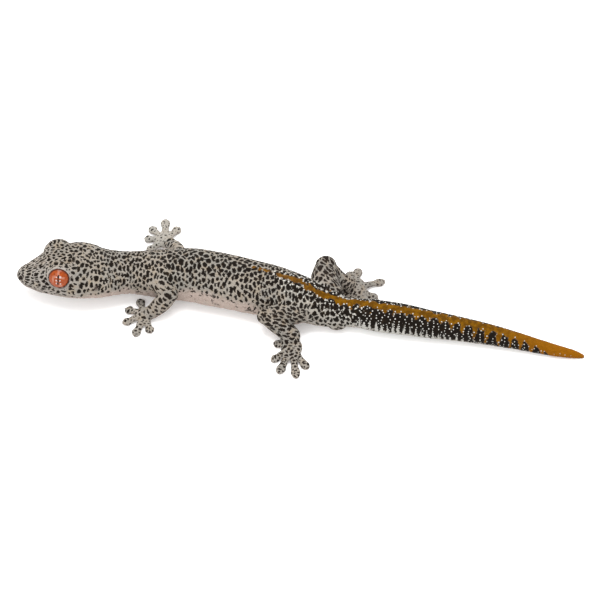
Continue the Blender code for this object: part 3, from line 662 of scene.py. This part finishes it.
# The golden band, with black teeth that run up into it and part into bars towards the tip. Its tables give
# degrees round the body for its far edge, for the tips of its near teeth and for the valleys between them.
TEETH = (18.70, 21.00, 23.45, 25.75, 28.05, 30.55, 32.85, 35.35,
         37.80, 40.45, 42.85, 45.05, 47.10, 49.60, 51.60)
TOOTH = 2.35
TEETH_BEFORE = 12
TEETH_AFTER = 4
BAND_X = (-10.2, -9.2, -7.8, -6.8, -6.4, -5.2, -4.6, -1.0, 1.0, 2.6, 4.2, 6.0, 8.2, 10.4, 12.4, 16.7,
          20.8, 29.0, 33.0, 37.5, 41.7, 46.0, 50.0, 51.5, 53.0)
BAND_FAR = (-12, -16, -17, -14, -8, -9, -14, -15, -12, -10, -9, -14, -20, -22, -22, -14, -15, -21,
            -22, -26, -32, -44, -70, -150, -190)
BAND_TOOTH = (-8, -6.5, -4.5, -6, -8, -7, 0, 2, 6, 6, 7.5, 9, 11, 12, 12, 14, 14, 13,
              15, 18, 23, 32, 52, 80, 190)
BAND_VALLEY = (-8, -5.5, -4, -5.5, -8, -7, 0.5, 3, 8, 9, 13, 17, 23, 26, 24, 21, 25, 33,
               58, 104, 118, 126, 140, 170, 190)
teeth_x = (TEETH[0] - TEETH_BEFORE * TOOTH, *TEETH, TEETH[-1] + TEETH_AFTER * TOOTH)
teeth_n = (-TEETH_BEFORE, *range(len(TEETH)), len(TEETH) - 1 + TEETH_AFTER)


def within(distance, blur):
    """One where distance is well above zero, and none well below it."""
    return eased(0.0, 1.0, 0.5 + distance / blur)


phase = np.interp(station + 0.12 * cloud + 0.07 * speckle, teeth_x, teeth_n)
tooth_gap = np.abs(phase - np.round(phase))
tooth_flat = by_x((5.0, 20.0, 38.0, 48.0), (0.08, 0.08, 0.25, 0.24))
gum = eased(0.0, 1.0, (tooth_gap - tooth_flat) / (0.5 - tooth_flat))
tooth_turn = by_x(BAND_X, BAND_TOOTH)
valley_turn = by_x(BAND_X, BAND_VALLEY)
near_edge = tooth_turn + gum * (valley_turn - tooth_turn)
far_edge = by_x(BAND_X, BAND_FAR) - gum * 0.5 * np.minimum(valley_turn - tooth_turn, 14.0)
edge_noise = 0.45 * speckle + 0.8 * ragged[:, 0]
edge_noise *= by_x((-10.0, -2.0, 8.0, 16.0, 30.0, 50.0), (2.5, 4.5, 7.0, 6.0, 5.0, 7.0))
edge_blur = by_x((-10.0, 10.0, 40.0), (1.6, 3.0, 5.0))
gold = within(near_edge - turn + edge_noise, edge_blur) * within(turn - far_edge + edge_noise, edge_blur)
gold *= (station > BAND_X[0]) * off_limb * eased(0.0, 0.35, near_edge - far_edge)

# Black ground either side of the band on the rump, reaching down the whole flank on the tail: there the
# blots run together, and only white specks where three of them meet are left of the net.
BLACK_X = (-12, -6, 0, 4, 8, 11, 14, 18, 40, 50, 54)
BLACK_TURN = (-5, 14, 30, 42, 58, 76, 94, 107, 121, 123, 124)
ROUNDING = 0.09
black_to = by_x(BLACK_X, BLACK_TURN)
black_strength = by_x((-12, -5, 0, 5, 9, 13), (0.0, 0.22, 0.36, 0.48, 0.72, 1.0))
ground = within(black_to - np.abs(turn - 2.0) + 6.0 * speckle, 14.0) * off_limb
far_back = eased(-8.0, -20.0, turn) * eased(-9.0, -4.0, station)
ground = np.minimum(ground * black_strength * (1.0 + 0.7 * far_back), 1.0)
net_width = net_width * (1.0 - 1.05 * ground) + 0.78 * fading
speck_width = 0.40 * ground * eased(13.5, 11.0, station)
# How much further off the second and third nearest blots are than the nearest: little on the net, and least
# where three blots meet. A soft minimum of the two rounds the corners of the blots.
second, third = reached[:, 1] - reached[:, 0], reached[:, 2] - reached[:, 0]
joining = 0.10 * eased(0.7, 1.6, ragged[:, 2]) * (1.0 - fading)
inward = -ROUNDING * np.log(np.exp(-second / ROUNDING) + np.exp(-third / ROUNDING))
dark = eased(-0.09, 0.09, inward + 0.01 + joining - net_width)
dark *= eased(-0.06, 0.06, third - speck_width)
dark *= eased(0.78, 0.68, reached[:, 0] * (1.0 - ground))
dark *= 1.0 - 0.50 * eased(0.25, 0.8, fading)
dark *= 1.0 - 0.28 * (far_end & far_leg)
fleck = eased(0.0, 0.5, 0.75 * speckle + 0.65 * ragged[:, 1] - 0.10 - 0.45 * fading)
fleck *= eased(125.0, 95.0, from_back) * eased(0.15, 0.5, fading)
dark = np.maximum(dark, 0.62 * fleck * (1.0 - 0.25 * eased(0.6, 1.0, fading)))

# White uprights climb from the pale underside between the tail's columns of tubercles, two to a tooth.
UPRIGHT_TURN = (50, 60, 74, 88, 103, 116)
UPRIGHT_WIDTH = (0.0, 0.05, 0.13, 0.22, 0.36, 0.62)
column_gap = np.abs(2.0 * phase - np.round(2.0 * phase)) * 0.5 * TOOTH
upright = np.interp(from_back + 4.0 * cloud + 6.0 * ragged[:, 1], UPRIGHT_TURN, UPRIGHT_WIDTH)
upright *= by_x((8.0, 22.0, 29.0, 36.0, 44.0), (1.0, 0.95, 0.55, 0.30, 0.0))
white = eased(-0.04, 0.08, upright - column_gap) * eased(9.5, 14.0, station) * off_limb
dark = np.clip(dark * (1.0 - white) * (1.0 - gold), 0.0, 1.0)
whiter = (0.30 + 0.25 * eased(4.0, 10.0, station)) * eased(-6.0, 4.0, station) * off_limb
white = np.maximum(np.maximum(white, whiter), 0.25 * (far_end & ~far_leg) + 0.10 * limb_end)

# Pale skin round the eye, on the snout and along the lips, and a patch before each eye.
EYE_PATCHES = ((-52.9, -3.6, 7.3), (-52.9, 4.7, 7.3))
EYE_PATCH_SIZE = (0.9, 1.4, 1.6)
pale = np.maximum(np.clip(ring_mask * 0.9, 0.0, 1.0), 0.40 * eased(-49.0, -54.0, station) * off_limb)
jaw = eased(72.0, 92.0, from_back) * eased(-43.0, -48.0, station) * off_limb
pale = np.maximum(pale, 0.55 * jaw)
for middle in EYE_PATCHES:
    gap = lengths((points - middle) / EYE_PATCH_SIZE)
    pale = np.maximum(pale, 0.74 * bump(gap, 0.0, 1.0))
dark *= 1.0 - np.maximum(0.9 * eased(0.60, 0.85, pale), 0.28 * jaw)
rust = eased(0.6, 1.8, cloud) * eased(-20.0, -44.0, station)
# Painted shade: all limbs but the far arm are a little darker than the body, the far leg most. The band's
# first length is a little darker in tone too.
limb_shade = 0.07 * limb * (limb_number != RIGHT_ARM) + 0.07 * limb * (limb_number == RIGHT_LEG)
hollow = np.maximum(hollow, np.maximum(limb_shade, 0.18 * gold * eased(6.0, -4.0, station)))

# The flat lay of the hide, in parts of a square, on which each scale has its own patch: the body in the lower
# strip, and over it a block for each limb, with its five toes side by side at the end.
LAY_STEPS = (0.0, 0.16, 0.34, 0.48, 0.62, 0.70, 1.0)
TOE_PLACE = 5


def lay_of(number, place, part, angle):
    """Where a point of a limb lies on the lay."""
    along = np.interp(np.minimum(place, TOE_PLACE) + part, range(len(LAY_STEPS)), LAY_STEPS)
    around = (angle + math.pi) / (2 * math.pi)
    around = np.where(place >= TOE_PLACE, (place - TOE_PLACE + 0.05 + 0.9 * around) / 5.0, around)
    return 0.01 + 0.25 * number + 0.22 * along, 0.66 + 0.32 * around


limb_lay = lay_of(limb_number, limb_place, limb_part, limb_round)
body_lay = (0.01 + 0.98 * (station - SNOUT_TIP) / (TAIL_END - SNOUT_TIP), 0.02 + 0.6 * (turn + 180.0) / 360.0)
lay = np.where(on_limb, limb_lay, body_lay).T

# Which part of the coat of scales a point carries: none behind the lens, in the head's openings or on the
# floor.
COAT_ENDS = (-44.0, -20.0, 1.0, 12.0)
COAT_FROM_Z = 0.09
bare = (pit > 0.4) | (points[:, 2] < COAT_FROM_Z) | (hollow > 0.6)
on_face, on_chest, on_belly, on_rump = (station < end for end in COAT_ENDS)
on_face = on_face & ~on_limb | limb_end
coat_part = np.select([bare, on_face, on_chest, on_belly, on_rump | on_limb], [0, 1, 2, 3, 4], 5)

hide_mesh.vertices.foreach_set("co", points.ravel())
for name, values in (("dark", dark), ("gold", gold), ("belly", belly), ("white", white), ("pale", pale),
                     ("hollow", hollow), ("rust", rust), ("tip", eased(36.0, 57.0, station)),
                     ("coat_part", coat_part)):
    layer = hide_mesh.attributes.new(name, "FLOAT", "POINT")
    layer.data.foreach_set("value", np.asarray(values, dtype=np.float32))
layer = hide_mesh.attributes.new("lay", "FLOAT2", "POINT")
layer.data.foreach_set("vector", lay.astype(np.float32).ravel())
hide_mesh.update()

# Hide finish: dry granular skin with a dull sheen. One group mixes its colours from the markings and the
# painted shade, and the hide, the scales and the tubercles each use it with their own values.


class Nodes:
    """A node tree, with short ways to add the linked nodes that a finish is made of."""

    def __init__(self, tree):
        self.tree = tree

    def feed(self, node, inputs):
        """Links or sets inputs of a node."""
        for key, value in inputs.items():
            if isinstance(value, bpy.types.NodeSocket):
                self.tree.links.new(value, node.inputs[key])
            else:
                node.inputs[key].default_value = value

    def add(self, kind, inputs=None, **settings):
        """The outputs of a new node."""
        made = self.tree.nodes.new(kind)
        for key, value in settings.items():
            setattr(made, key, value)
        self.feed(made, inputs or {})
        return made.outputs

    def mixed(self, factor, first, second):
        inputs = {0: factor, 6: first, 7: second}
        return self.add("ShaderNodeMix", inputs, data_type="RGBA", clamp_factor=True)[2]

    def ranged(self, value, low, high, out_low=0.0, out_high=1.0, steep="SMOOTHSTEP"):
        inputs = {0: value, 1: low, 2: high, 3: out_low, 4: out_high}
        return self.add("ShaderNodeMapRange", inputs, interpolation_type=steep, clamp=True)[0]

    def counted(self, operation, first, second=0.5):
        return self.add("ShaderNodeMath", {0: first, 1: second}, operation=operation)[0]

    def times(self, first, second):
        return self.counted("MULTIPLY", first, second)

    def vector(self, operation, inputs):
        return self.add("ShaderNodeVectorMath", inputs, operation=operation)

    def noise(self, spot, scale, detail, roughness=0.5):
        inputs = {"Vector": spot, "Scale": scale, "Detail": detail, "Roughness": roughness}
        return self.add("ShaderNodeTexNoise", inputs)


NET = (0.285, 0.253, 0.216, 1.0)
NET_GREY = (0.244, 0.228, 0.203, 1.0)
NET_WARM = (0.262, 0.205, 0.142, 1.0)
RUST = (0.36, 0.26, 0.13, 1.0)
BLACK = (0.0086, 0.0062, 0.0044, 1.0)
BLACK_WARM = (0.018, 0.011, 0.006, 1.0)
GOLD = (0.172, 0.073, 0.0010, 1.0)
GOLD_DEEP = (0.096, 0.039, 0.0008, 1.0)
GOLD_TIP = (0.225, 0.080, 0.0015, 1.0)
BELLY = (0.370, 0.300, 0.262, 1.0)
WHITE = (0.410, 0.398, 0.368, 1.0)
PALE = (0.330, 0.300, 0.275, 1.0)
# Dark colour of the painted shade in the mouth, nostrils, ears and on the limbs, and of the band's darker
# start.
SHADE_AND_TONE = (0.060, 0.040, 0.034, 1.0)
HIDE_MASKS = ("dark", "gold", "belly", "white", "pale", "hollow", "rust", "tip", "tint")
HIDE_RELIEF = 0.00005

paint = Nodes(bpy.data.node_groups.new("hide_markings", "ShaderNodeTree"))
for mask in HIDE_MASKS:
    paint.tree.interface.new_socket(mask, in_out="INPUT", socket_type="NodeSocketFloat")
paint.tree.interface.new_socket("Color", in_out="OUTPUT", socket_type="NodeSocketColor")
paint.tree.interface.new_socket("Height", in_out="OUTPUT", socket_type="NodeSocketFloat")
masks = paint.add("NodeGroupInput")
spot = paint.add("ShaderNodeTexCoord")["Object"]
drift = paint.noise(spot, 170.0, 3.0)[0]
mottle = paint.noise(spot, 900.0, 2.0)[0]
grain = paint.noise(spot, 4200.0, 2.0)[0]
cells = paint.add("ShaderNodeTexVoronoi", {"Vector": spot, "Scale": 3600.0, "Randomness": 0.85})[0]
net = paint.mixed(paint.ranged(drift, 0.36, 0.62), NET_GREY, NET)
net = paint.mixed(paint.times(paint.ranged(mottle, 0.45, 0.75), 0.6), net, NET_WARM)
net = paint.mixed(paint.times(masks["rust"], 0.22), net, RUST)
for mask, tone in (("belly", BELLY), ("pale", PALE), ("white", WHITE)):
    net = paint.mixed(masks[mask], net, tone)
fraying = paint.counted("SUBTRACT", grain, 0.5)
edge = paint.counted("ADD", masks["dark"], paint.times(fraying, 0.5))
black = paint.mixed(paint.ranged(mottle, 0.5, 0.8), BLACK, BLACK_WARM)
colour = paint.mixed(paint.ranged(edge, 0.30, 0.66), net, black)
golden = paint.mixed(paint.ranged(mottle, 0.40, 0.63), GOLD_DEEP, GOLD)
golden = paint.mixed(masks["tip"], golden, GOLD_TIP)
gold_edge = paint.counted("ADD", masks["gold"], paint.times(fraying, 0.4))
colour = paint.mixed(paint.ranged(gold_edge, 0.36, 0.62), colour, golden)
# Painted shade, and the band's darker start, mixed in towards a dark colour.
colour = paint.mixed(masks["hollow"], colour, SHADE_AND_TONE)
shade = paint.ranged(masks["tint"], 0.0, 1.0, 0.80, 1.18, "LINEAR")
shaded = paint.vector("SCALE", {0: colour, "Scale": shade})[0]
height = paint.counted("ADD", paint.ranged(cells, 0.05, 0.62, 1.0, 0.0), paint.times(grain, 0.35))
paint.add("NodeGroupOutput", {"Color": shaded, "Height": height})


def new_finish(name):
    """A new material, with the nodes of its tree and its shader."""
    made = bpy.data.materials.new(name)
    made.use_nodes = True
    return made, Nodes(made.node_tree), made.node_tree.nodes["Principled BSDF"]


def hide_material(name, roughness, strength, fixed):
    """Skin finish that reads the markings and the painted shade from the piece, but for those given a fixed
    value.
    """
    made, nodes, shader = new_finish(name)
    read = {mask: nodes.add("ShaderNodeAttribute", attribute_name=mask)["Fac"]
            for mask in HIDE_MASKS if mask not in fixed}
    group = nodes.add("ShaderNodeGroup", {**read, **fixed}, node_tree=paint.tree)
    relief = {"Height": group["Height"], "Strength": strength, "Distance": HIDE_RELIEF}
    nodes.feed(shader, {"Base Color": group["Color"], "Normal": nodes.add("ShaderNodeBump", relief)[0],
                        "Roughness": roughness, "Specular IOR Level": 0.04})
    return made


def new_piece(name, mesh, material, slot, *nodes):
    """Carries a mesh from the animal's millimetres to its place in metres, as a finished piece."""
    mesh.transform(Matrix.Scale(MM, 4) @ Matrix.Translation(PLACE))
    for spare in ("coat_part", "lay", "patch"):
        if spare in mesh.attributes:
            mesh.attributes.remove(mesh.attributes[spare])
    piece = placed(name, mesh)
    mesh.materials.clear()
    mesh.materials.append(material)
    mesh.polygons.foreach_set("material_index", [0] * len(mesh.polygons))
    mesh.polygons.foreach_set("use_smooth", [True] * len(mesh.polygons))
    mesh.update()
    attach(piece, "root")
    if nodes:
        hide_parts(*nodes)


# The hide alone is thinned a little, most on the flats beneath; the scales keep its full detail.
SKIN_KEPT = 0.80
hide_finish = hide_material("granular_hide", roughness=0.60, strength=0.55, fixed={"tint": 0.42})
skin_mesh = reworked(hide_mesh, "DECIMATE", ratio=SKIN_KEPT)
FLESH = ["head", "neck", "chest", "belly", "tail_base", "tail_middle", "tail_tip"]
FLESH += [f"{part}_{word}" for part in ("upper_arm", "forearm", "hand", "thigh", "shin", "foot")
          for word in ("left", "right")]
new_piece("skin", skin_mesh, hide_finish, "spotted_skin", *FLESH)

# Scales: thousands of small round granules set close over the hide, finest on the face and feet. Each is
# a low closed bead with its root in the hide, and keeps the colour of the hide under it.
SCALE_RISE = 0.42
SCALE_SPREAD = (0.50, 0.63)
SCALE_CROWDING = 3.2
PATCH = 0.0015
# Piece, part of the coat, distance between scales and slot.
COATS = (
    ("face_and_foot_scales", 1, 0.205, "spotted_skin"),
    ("neck_and_chest_scales", 2, 0.245, "spotted_skin"),
    ("belly_scales", 3, 0.255, "spotted_skin"),
    ("rump_and_leg_scales", 4, 0.250, "spotted_skin"),
    ("tail_scales", 5, 0.240, "black_gold_skin"),
)

bead = bmesh.new()
bmesh.ops.create_uvsphere(bead, u_segments=6, v_segments=2, radius=1.0,
                          matrix=Matrix.Diagonal((1.0, 1.0, SCALE_RISE, 1.0)))
bead_mesh = as_mesh(bead, "scale_bead")
patch = bead_mesh.attributes.new("patch", "FLOAT2", "POINT")
for vert, spot_on_patch in zip(bead_mesh.vertices, patch.data):
    spot_on_patch.vector = (vert.co.x * PATCH, vert.co.y * PATCH)
bead_object = bpy.data.objects.new("scale_bead", bead_mesh)


def coat_nodes(name, part, gap, seed):
    """Nodes that set beads over one part of the hide, each with its own patch of the bake's map."""
    coat = Nodes(bpy.data.node_groups.new(name, "GeometryNodeTree"))
    for way in ("INPUT", "OUTPUT"):
        coat.tree.interface.new_socket("Geometry", in_out=way, socket_type="NodeSocketGeometry")

    def read(attribute, kind):
        return coat.add("GeometryNodeInputNamedAttribute", {"Name": attribute}, data_type=kind)[0]

    def stored(geometry, attribute, value, kind, domain):
        inputs = {"Geometry": geometry, "Name": attribute, "Value": value}
        return coat.add("GeometryNodeStoreNamedAttribute", inputs, data_type=kind, domain=domain)[0]

    chosen = coat.add("ShaderNodeMath", {0: read("coat_part", "FLOAT"), 1: float(part), 2: 0.45},
                      operation="COMPARE")[0]
    roots = coat.add("GeometryNodeDistributePointsOnFaces",
                     {"Mesh": coat.add("NodeGroupInput")[0], "Selection": chosen, "Distance Min": gap,
                      "Density Max": SCALE_CROWDING / gap ** 2, "Seed": seed}, distribute_method="POISSON")
    chance = coat.add("FunctionNodeRandomValue", {"Seed": seed + 7}, data_type="FLOAT")[1]
    tinted = stored(roots["Points"], "tint", chance, "FLOAT", "POINT")
    size = coat.add("ShaderNodeMapRange", {0: chance, 3: gap * SCALE_SPREAD[0], 4: gap * SCALE_SPREAD[1]})[0]
    shape = coat.add("GeometryNodeObjectInfo", {"Object": bead_object})["Geometry"]
    beads = coat.add("GeometryNodeInstanceOnPoints", {"Points": tinted, "Instance": shape,
                                                      "Rotation": roots["Rotation"], "Scale": size})[0]
    real = coat.add("GeometryNodeRealizeInstances", {"Geometry": beads})[0]
    spot = coat.vector("ADD", {0: read("lay", "FLOAT_VECTOR"), 1: read("patch", "FLOAT_VECTOR")})[0]
    coat.add("NodeGroupOutput", {0: stored(real, "OFBake", spot, "FLOAT2", "CORNER")})
    return coat.tree


scale_finish = hide_material("granule_scales", roughness=0.52, strength=0.15, fixed={})
for index, (name, part, gap, slot) in enumerate(COATS):
    coat_mesh = reworked(hide_mesh, "NODES", node_group=coat_nodes(name, part, gap, 31 + index))
    new_piece(name, coat_mesh, scale_finish, slot)
bpy.data.objects.remove(bead_object, do_unlink=True)

# Tubercles: white domed scales that stand proud of the tail's black, in columns two to a tooth, and on the
# rump where three blots meet beside the band. Solid little domes with their roots in the hide.
TUBERCLE_SIZES = (0.170, 0.095)
TUBERCLE_ROWS = (0.55, 0.70)
TUBERCLES_FROM = 12.5
TUBERCLES_TO = 57.0
TUBERCLES_DOWN = math.radians(104.0)
RUMP_FROM = -9.0
RUMP = (-7.5, 13.2)
RUMP_EDGE = (-5.5, 13.0)
RUMP_SPACING = 0.62

tubercle_roots = []
on_tail = np.flatnonzero((station > RUMP_FROM) & ~on_limb)
arc = np.radians(turn[on_tail]) * np.interp(station[on_tail], BODY_X, BODY_COLUMNS[1])


def plant(x, y, size):
    """Roots a tubercle at the point of the tail nearest to x along it and y round it."""
    gap = np.hypot(station[on_tail] - x, arc - y)
    tubercle_roots.append((int(on_tail[np.argmin(gap)]), size))


for n in range(-6, 2 * len(TEETH) + 7):
    x = float(np.interp(n / 2.0, teeth_n, teeth_x))
    if not TUBERCLES_FROM < x < TUBERCLES_TO:
        continue
    half = body_row(x)[1]
    lowest = TUBERCLES_DOWN * half
    largest, smallest = np.array(TUBERCLE_SIZES) * np.interp(x, (12, 45, 57), (1.0, 0.95, 0.7))
    for way, edge_table in ((-1, BAND_FAR), (1, BAND_TOOTH)):
        start = way * np.interp(x, BAND_X, edge_table)
        if n % 2:
            start = 0.6 * start + 0.4 * np.interp(x, BAND_X, BAND_VALLEY)
        start = math.radians(min(start, 80.0)) * half
        at = start - 0.25 + 0.3 * random.random()
        while at < lowest:
            if random.random() > 0.06:
                plant(x + 0.06 * (at - start) * way + 0.26 * random.standard_normal(), way * at,
                      largest - (largest - smallest) * (0.3 * at / lowest + 0.7 * random.random()))
            at += np.interp(x, (34.0, 40.0), TUBERCLE_ROWS) * (0.85 + 0.3 * random.random())
for way, edge_table in ((1, BAND_TOOTH), (-1, BAND_FAR)):
    x = RUMP_EDGE[0]
    while x < RUMP_EDGE[1]:
        wanted = math.radians(np.interp(x, BAND_X, edge_table) + way * 5.0) * body_row(x)[1]
        plant(x, wanted + 0.14 * random.standard_normal(), 0.15 + 0.06 * random.random())
        x += 0.75 + 0.8 * random.random()
meeting = (third < 0.13) & (ground > 0.22) & (station > RUMP[0]) & (station < RUMP[1]) & (gold < 0.3)
taken = np.zeros(count, dtype=bool)
for seed in random.permutation(np.flatnonzero(meeting)):
    if not taken[seed]:
        for item in hide_tree.find_range(points[seed], RUMP_SPACING):
            taken[item[1]] = True
        tubercle_roots.append((int(seed), 0.11 + 0.06 * random.random()))

domes = bmesh.new()
dome_lay = domes.loops.layers.uv.new("OFBake")
for root, size in tubercle_roots:
    out = Vector(normals[root])
    aside = out.orthogonal().normalized()
    beside = out.cross(aside)
    middle = Vector(points[root]) + out * size * 0.12
    for vert in add_ball(domes, 8, 5, middle, (aside, beside, out), (size, size, size * 0.72)):
        off = (vert.co - middle) * PATCH / size
        for loop in vert.link_loops:
            loop[dome_lay].uv = (lay[root][0] + off.dot(aside), lay[root][1] + off.dot(beside))
dome_values = {**dict.fromkeys(HIDE_MASKS, 0.0), "white": 1.0, "tint": 1.0}
dome_finish = hide_material("white_tubercle", roughness=0.45, strength=0.1, fixed=dome_values)
new_piece("white_tubercles", as_mesh(domes, "white_tubercles"), dome_finish, "black_gold_skin")

# Claws: one small hooked claw of brown horn at the end of each toe, rooted over the pad. Each is skinned
# over rings that step forward, bend down and narrow to a blunt tip.
CLAW_LENGTH = 0.62
CLAW_RADIUS = 0.13
CLAW_BEND = math.radians(50.0)
CLAW_TAPER = (1.0, 0.86, 0.66, 0.42, 0.16)
CLAW_STEP = 1.0 / (len(CLAW_TAPER) - 1)
HORN = (0.070, 0.040, 0.024, 1.0)

claws = bmesh.new()
for _, _, palm, _, toes in LIMBS:
    for tip in toes:
        spot, _, tall = toe_stations(Vector(palm), tip)[-2]
        ahead = (Vector((*tip, 0.0)) - Vector((palm[0], palm[1], 0.0))).normalized()
        beside = Vector((-ahead.y, ahead.x, 0.0))
        root = Vector((spot.x, spot.y, spot.z + tall * 0.55))
        rings = []
        for step, taper in enumerate(CLAW_TAPER):
            if step > 0:
                dip = CLAW_BEND * (step - 0.5) * CLAW_STEP
                root += (ahead * math.cos(dip) - UP * math.sin(dip)) * CLAW_LENGTH * CLAW_STEP
            rings.append(add_ring(claws, 8, lambda angle: root + CLAW_RADIUS * taper
                                  * (beside * math.cos(angle) + UP * math.sin(angle))))
        join_rings(claws, rings)
bmesh.ops.recalc_face_normals(claws, faces=claws.faces)
claw_finish, nodes, shader = new_finish("claw_horn")
nodes.feed(shader, {"Base Color": HORN, "Roughness": 0.35})
new_piece("claws", as_mesh(claws, "claws"), claw_finish, "spotted_skin")

# Eyes: a ball lens on each side under a clear scale, wet and glossy. The iris is orange red with a brown
# rim, and the slit pupil is pinched into beads among pinkish veins. Pale lobes beside the pupil are partly
# pale iris and partly painted highlight.
IRIS = (0.175, 0.027, 0.0020, 1.0)
IRIS_BRIGHT = (0.335, 0.056, 0.0030, 1.0)
IRIS_RIM = (0.040, 0.009, 0.005, 1.0)
VEIN = (0.430, 0.215, 0.150, 1.0)
LOBE_AND_HIGHLIGHT_COLOUR = (0.520, 0.430, 0.410, 1.0)
PUPIL = (0.004, 0.003, 0.003, 1.0)
# Middle and half size of the pale lobes beside the pupil, partly pale iris and partly painted highlight, and
# of the pinkish patches of veins, in lens radii; the first value runs towards the snout.
LOBE_AND_HIGHLIGHT_PATCHES = ((-0.19, 0.34, 0.13, 0.14), (0.17, 0.32, 0.06, 0.09), (-0.17, 0.00, 0.07, 0.10),
         (0.19, -0.02, 0.09, 0.10), (-0.24, -0.36, 0.07, 0.09), (0.16, -0.36, 0.06, 0.11))
VEINS = ((0.02, 0.66, 0.13, 0.20), (0.52, 0.02, 0.11, 0.40), (-0.45, 0.26, 0.20, 0.12),
         (-0.25, -0.62, 0.2, 0.14), (0.36, 0.34, 0.14, 0.16))

eye_finish, eye, shader = new_finish("orange_eye")
MIDDLE = (-0.5, -0.5, 0.0)
gaze_spot = eye.vector("ADD", {0: eye.add("ShaderNodeUVMap", uv_map="gaze")[0], 1: MIDDLE})[0]
gaze_spot = eye.vector("SCALE", {0: gaze_spot, "Scale": 2.0})[0]
radius = eye.vector("LENGTH", {0: gaze_spot})["Value"]
ripple = eye.vector("ADD", {0: eye.noise(gaze_spot, 4.5, 3.0)[1], 1: MIDDLE})[0]
ripple = eye.vector("SCALE", {0: ripple, "Scale": 0.22})[0]
bent = eye.vector("ADD", {0: gaze_spot, 1: ripple})[0]
parts = eye.add("ShaderNodeSeparateXYZ", {0: bent})
across_gap, upward_gap = (eye.counted("ABSOLUTE", parts[axis]) for axis in (0, 1))


def patches(rows):
    """Union of soft oval patches."""
    total = 0.0
    for x, y, wide, tall in rows:
        off = eye.vector("SUBTRACT", {0: bent, 1: (x, y, 0.0)})[0]
        off = eye.vector("MULTIPLY", {0: off, 1: (1.0 / wide, 1.0 / tall, 0.0)})[0]
        gap = eye.vector("LENGTH", {0: off})["Value"]
        total = eye.counted("MAXIMUM", eye.ranged(gap, 1.25, 0.55), total)
    return total


streaks = eye.noise(gaze_spot, 6.0, 4.0, 0.6)[0]
iris = eye.mixed(eye.ranged(streaks, 0.35, 0.68), IRIS, IRIS_BRIGHT)
iris = eye.mixed(eye.times(patches(VEINS), 0.50), iris, VEIN)
# Pale lobes beside the pupil: partly pale iris, partly painted highlight.
iris = eye.mixed(eye.times(patches(LOBE_AND_HIGHLIGHT_PATCHES), 0.85), iris, LOBE_AND_HIGHLIGHT_COLOUR)
beads = eye.counted("ABSOLUTE", eye.counted("SINE", eye.times(parts[1], 9.3)))
slit = eye.counted("ADD", eye.times(beads, -0.050), 0.105)
pupil = eye.ranged(eye.counted("SUBTRACT", slit, across_gap), -0.02, 0.025)
iris = eye.mixed(eye.times(pupil, eye.ranged(upward_gap, 0.60, 0.50)), iris, PUPIL)
iris = eye.mixed(eye.times(eye.ranged(radius, 0.84, 1.0), 0.8), iris, IRIS_RIM)
eye.feed(shader, {"Base Color": iris, "Roughness": 0.30, "Specular IOR Level": 0.10, "Coat Weight": 0.30,
                  "Coat Roughness": 0.04, "Coat IOR": 1.45})

for side, word in ((-1, "left"), (1, "right")):
    middle, look, across, upward = eye_frame(side)
    ball = bmesh.new()
    bmesh.ops.create_uvsphere(ball, u_segments=72, v_segments=36, radius=1.0)
    gaze = ball.loops.layers.uv.new("gaze")
    for face in ball.faces:
        for loop in face.loops:
            loop[gaze].uv = (0.5 + 0.5 * loop.vert.co.x * -side, 0.5 + 0.5 * loop.vert.co.y)
    lens = middle + look * LENS_OUT
    matrix = spread_matrix(lens, (across, upward, look), (LENS_RADIUS, LENS_RADIUS, LENS_DEPTH))
    bmesh.ops.transform(ball, verts=ball.verts, matrix=matrix)
    bmesh.ops.recalc_face_normals(ball, faces=ball.faces)
    eye_mesh = as_mesh(ball, "eyeball_" + word)
    new_piece("eyeball_" + word, eye_mesh, eye_finish, "orange_eye", "eye_" + word)

# Setting: a plain white table under soft studio light from above and behind, with a little from the front.
# The camera is far off, above the animal's left side.
VIEW_ELEVATION = math.radians(50.0)
VIEW_DISTANCE = 4.0
FRAME_WIDTH = 0.125
SENSOR_WIDTH = 36.0
AIM = Vector((0.0, -0.00012, 0.0))

table = bmesh.new()
bmesh.ops.create_grid(table, x_segments=1, y_segments=1, size=3.0)
table_object = placed("table", as_mesh(table, "table"))
table_finish, nodes, shader = new_finish("white_table")
nodes.feed(shader, {"Base Color": (0.90, 0.90, 0.90, 1.0), "Roughness": 0.9, "Specular IOR Level": 0.1,
                    "Emission Color": (1.0, 1.0, 1.0, 1.0), "Emission Strength": 0.20})
table_object.data.materials.append(table_finish)


def aimed(name, data, place, target):
    """An object that looks from a place at a target."""
    holder = placed(name, data)
    holder.location = place
    holder.rotation_euler = (Vector(target) - Vector(place)).to_track_quat("-Z", "Y").to_euler()
    return holder


def soft_light(name, place, size, power):
    lamp = bpy.data.lights.new(name, "AREA")
    lamp.shape = "SQUARE"
    lamp.size = size
    lamp.energy = power
    aimed(name, lamp, place, (0.0, 0.0, 0.0))


soft_light("top_light", (-0.05, 0.16, 0.72), 0.50, 6.4)
soft_light("front_light", (-0.45, -0.50, 0.50), 0.30, 1.0)

world = bpy.data.worlds.new("studio")
bpy.context.scene.world = world
world.use_nodes = True
sky = world.node_tree.nodes["Background"]
Nodes(world.node_tree).feed(sky, {"Color": (1.0, 1.0, 1.0, 1.0), "Strength": 1.12})
bpy.context.scene.view_settings.view_transform = "Standard"

lens_data = bpy.data.cameras.new("camera")
lens_data.sensor_width = SENSOR_WIDTH
lens_data.lens = SENSOR_WIDTH * VIEW_DISTANCE / FRAME_WIDTH
lens_data.clip_start = 0.05
back = Vector((0.0, -math.cos(VIEW_ELEVATION), math.sin(VIEW_ELEVATION)))
bpy.context.scene.camera = aimed("camera", lens_data, AIM + back * VIEW_DISTANCE, AIM)

bpy.context.view_layer.update()
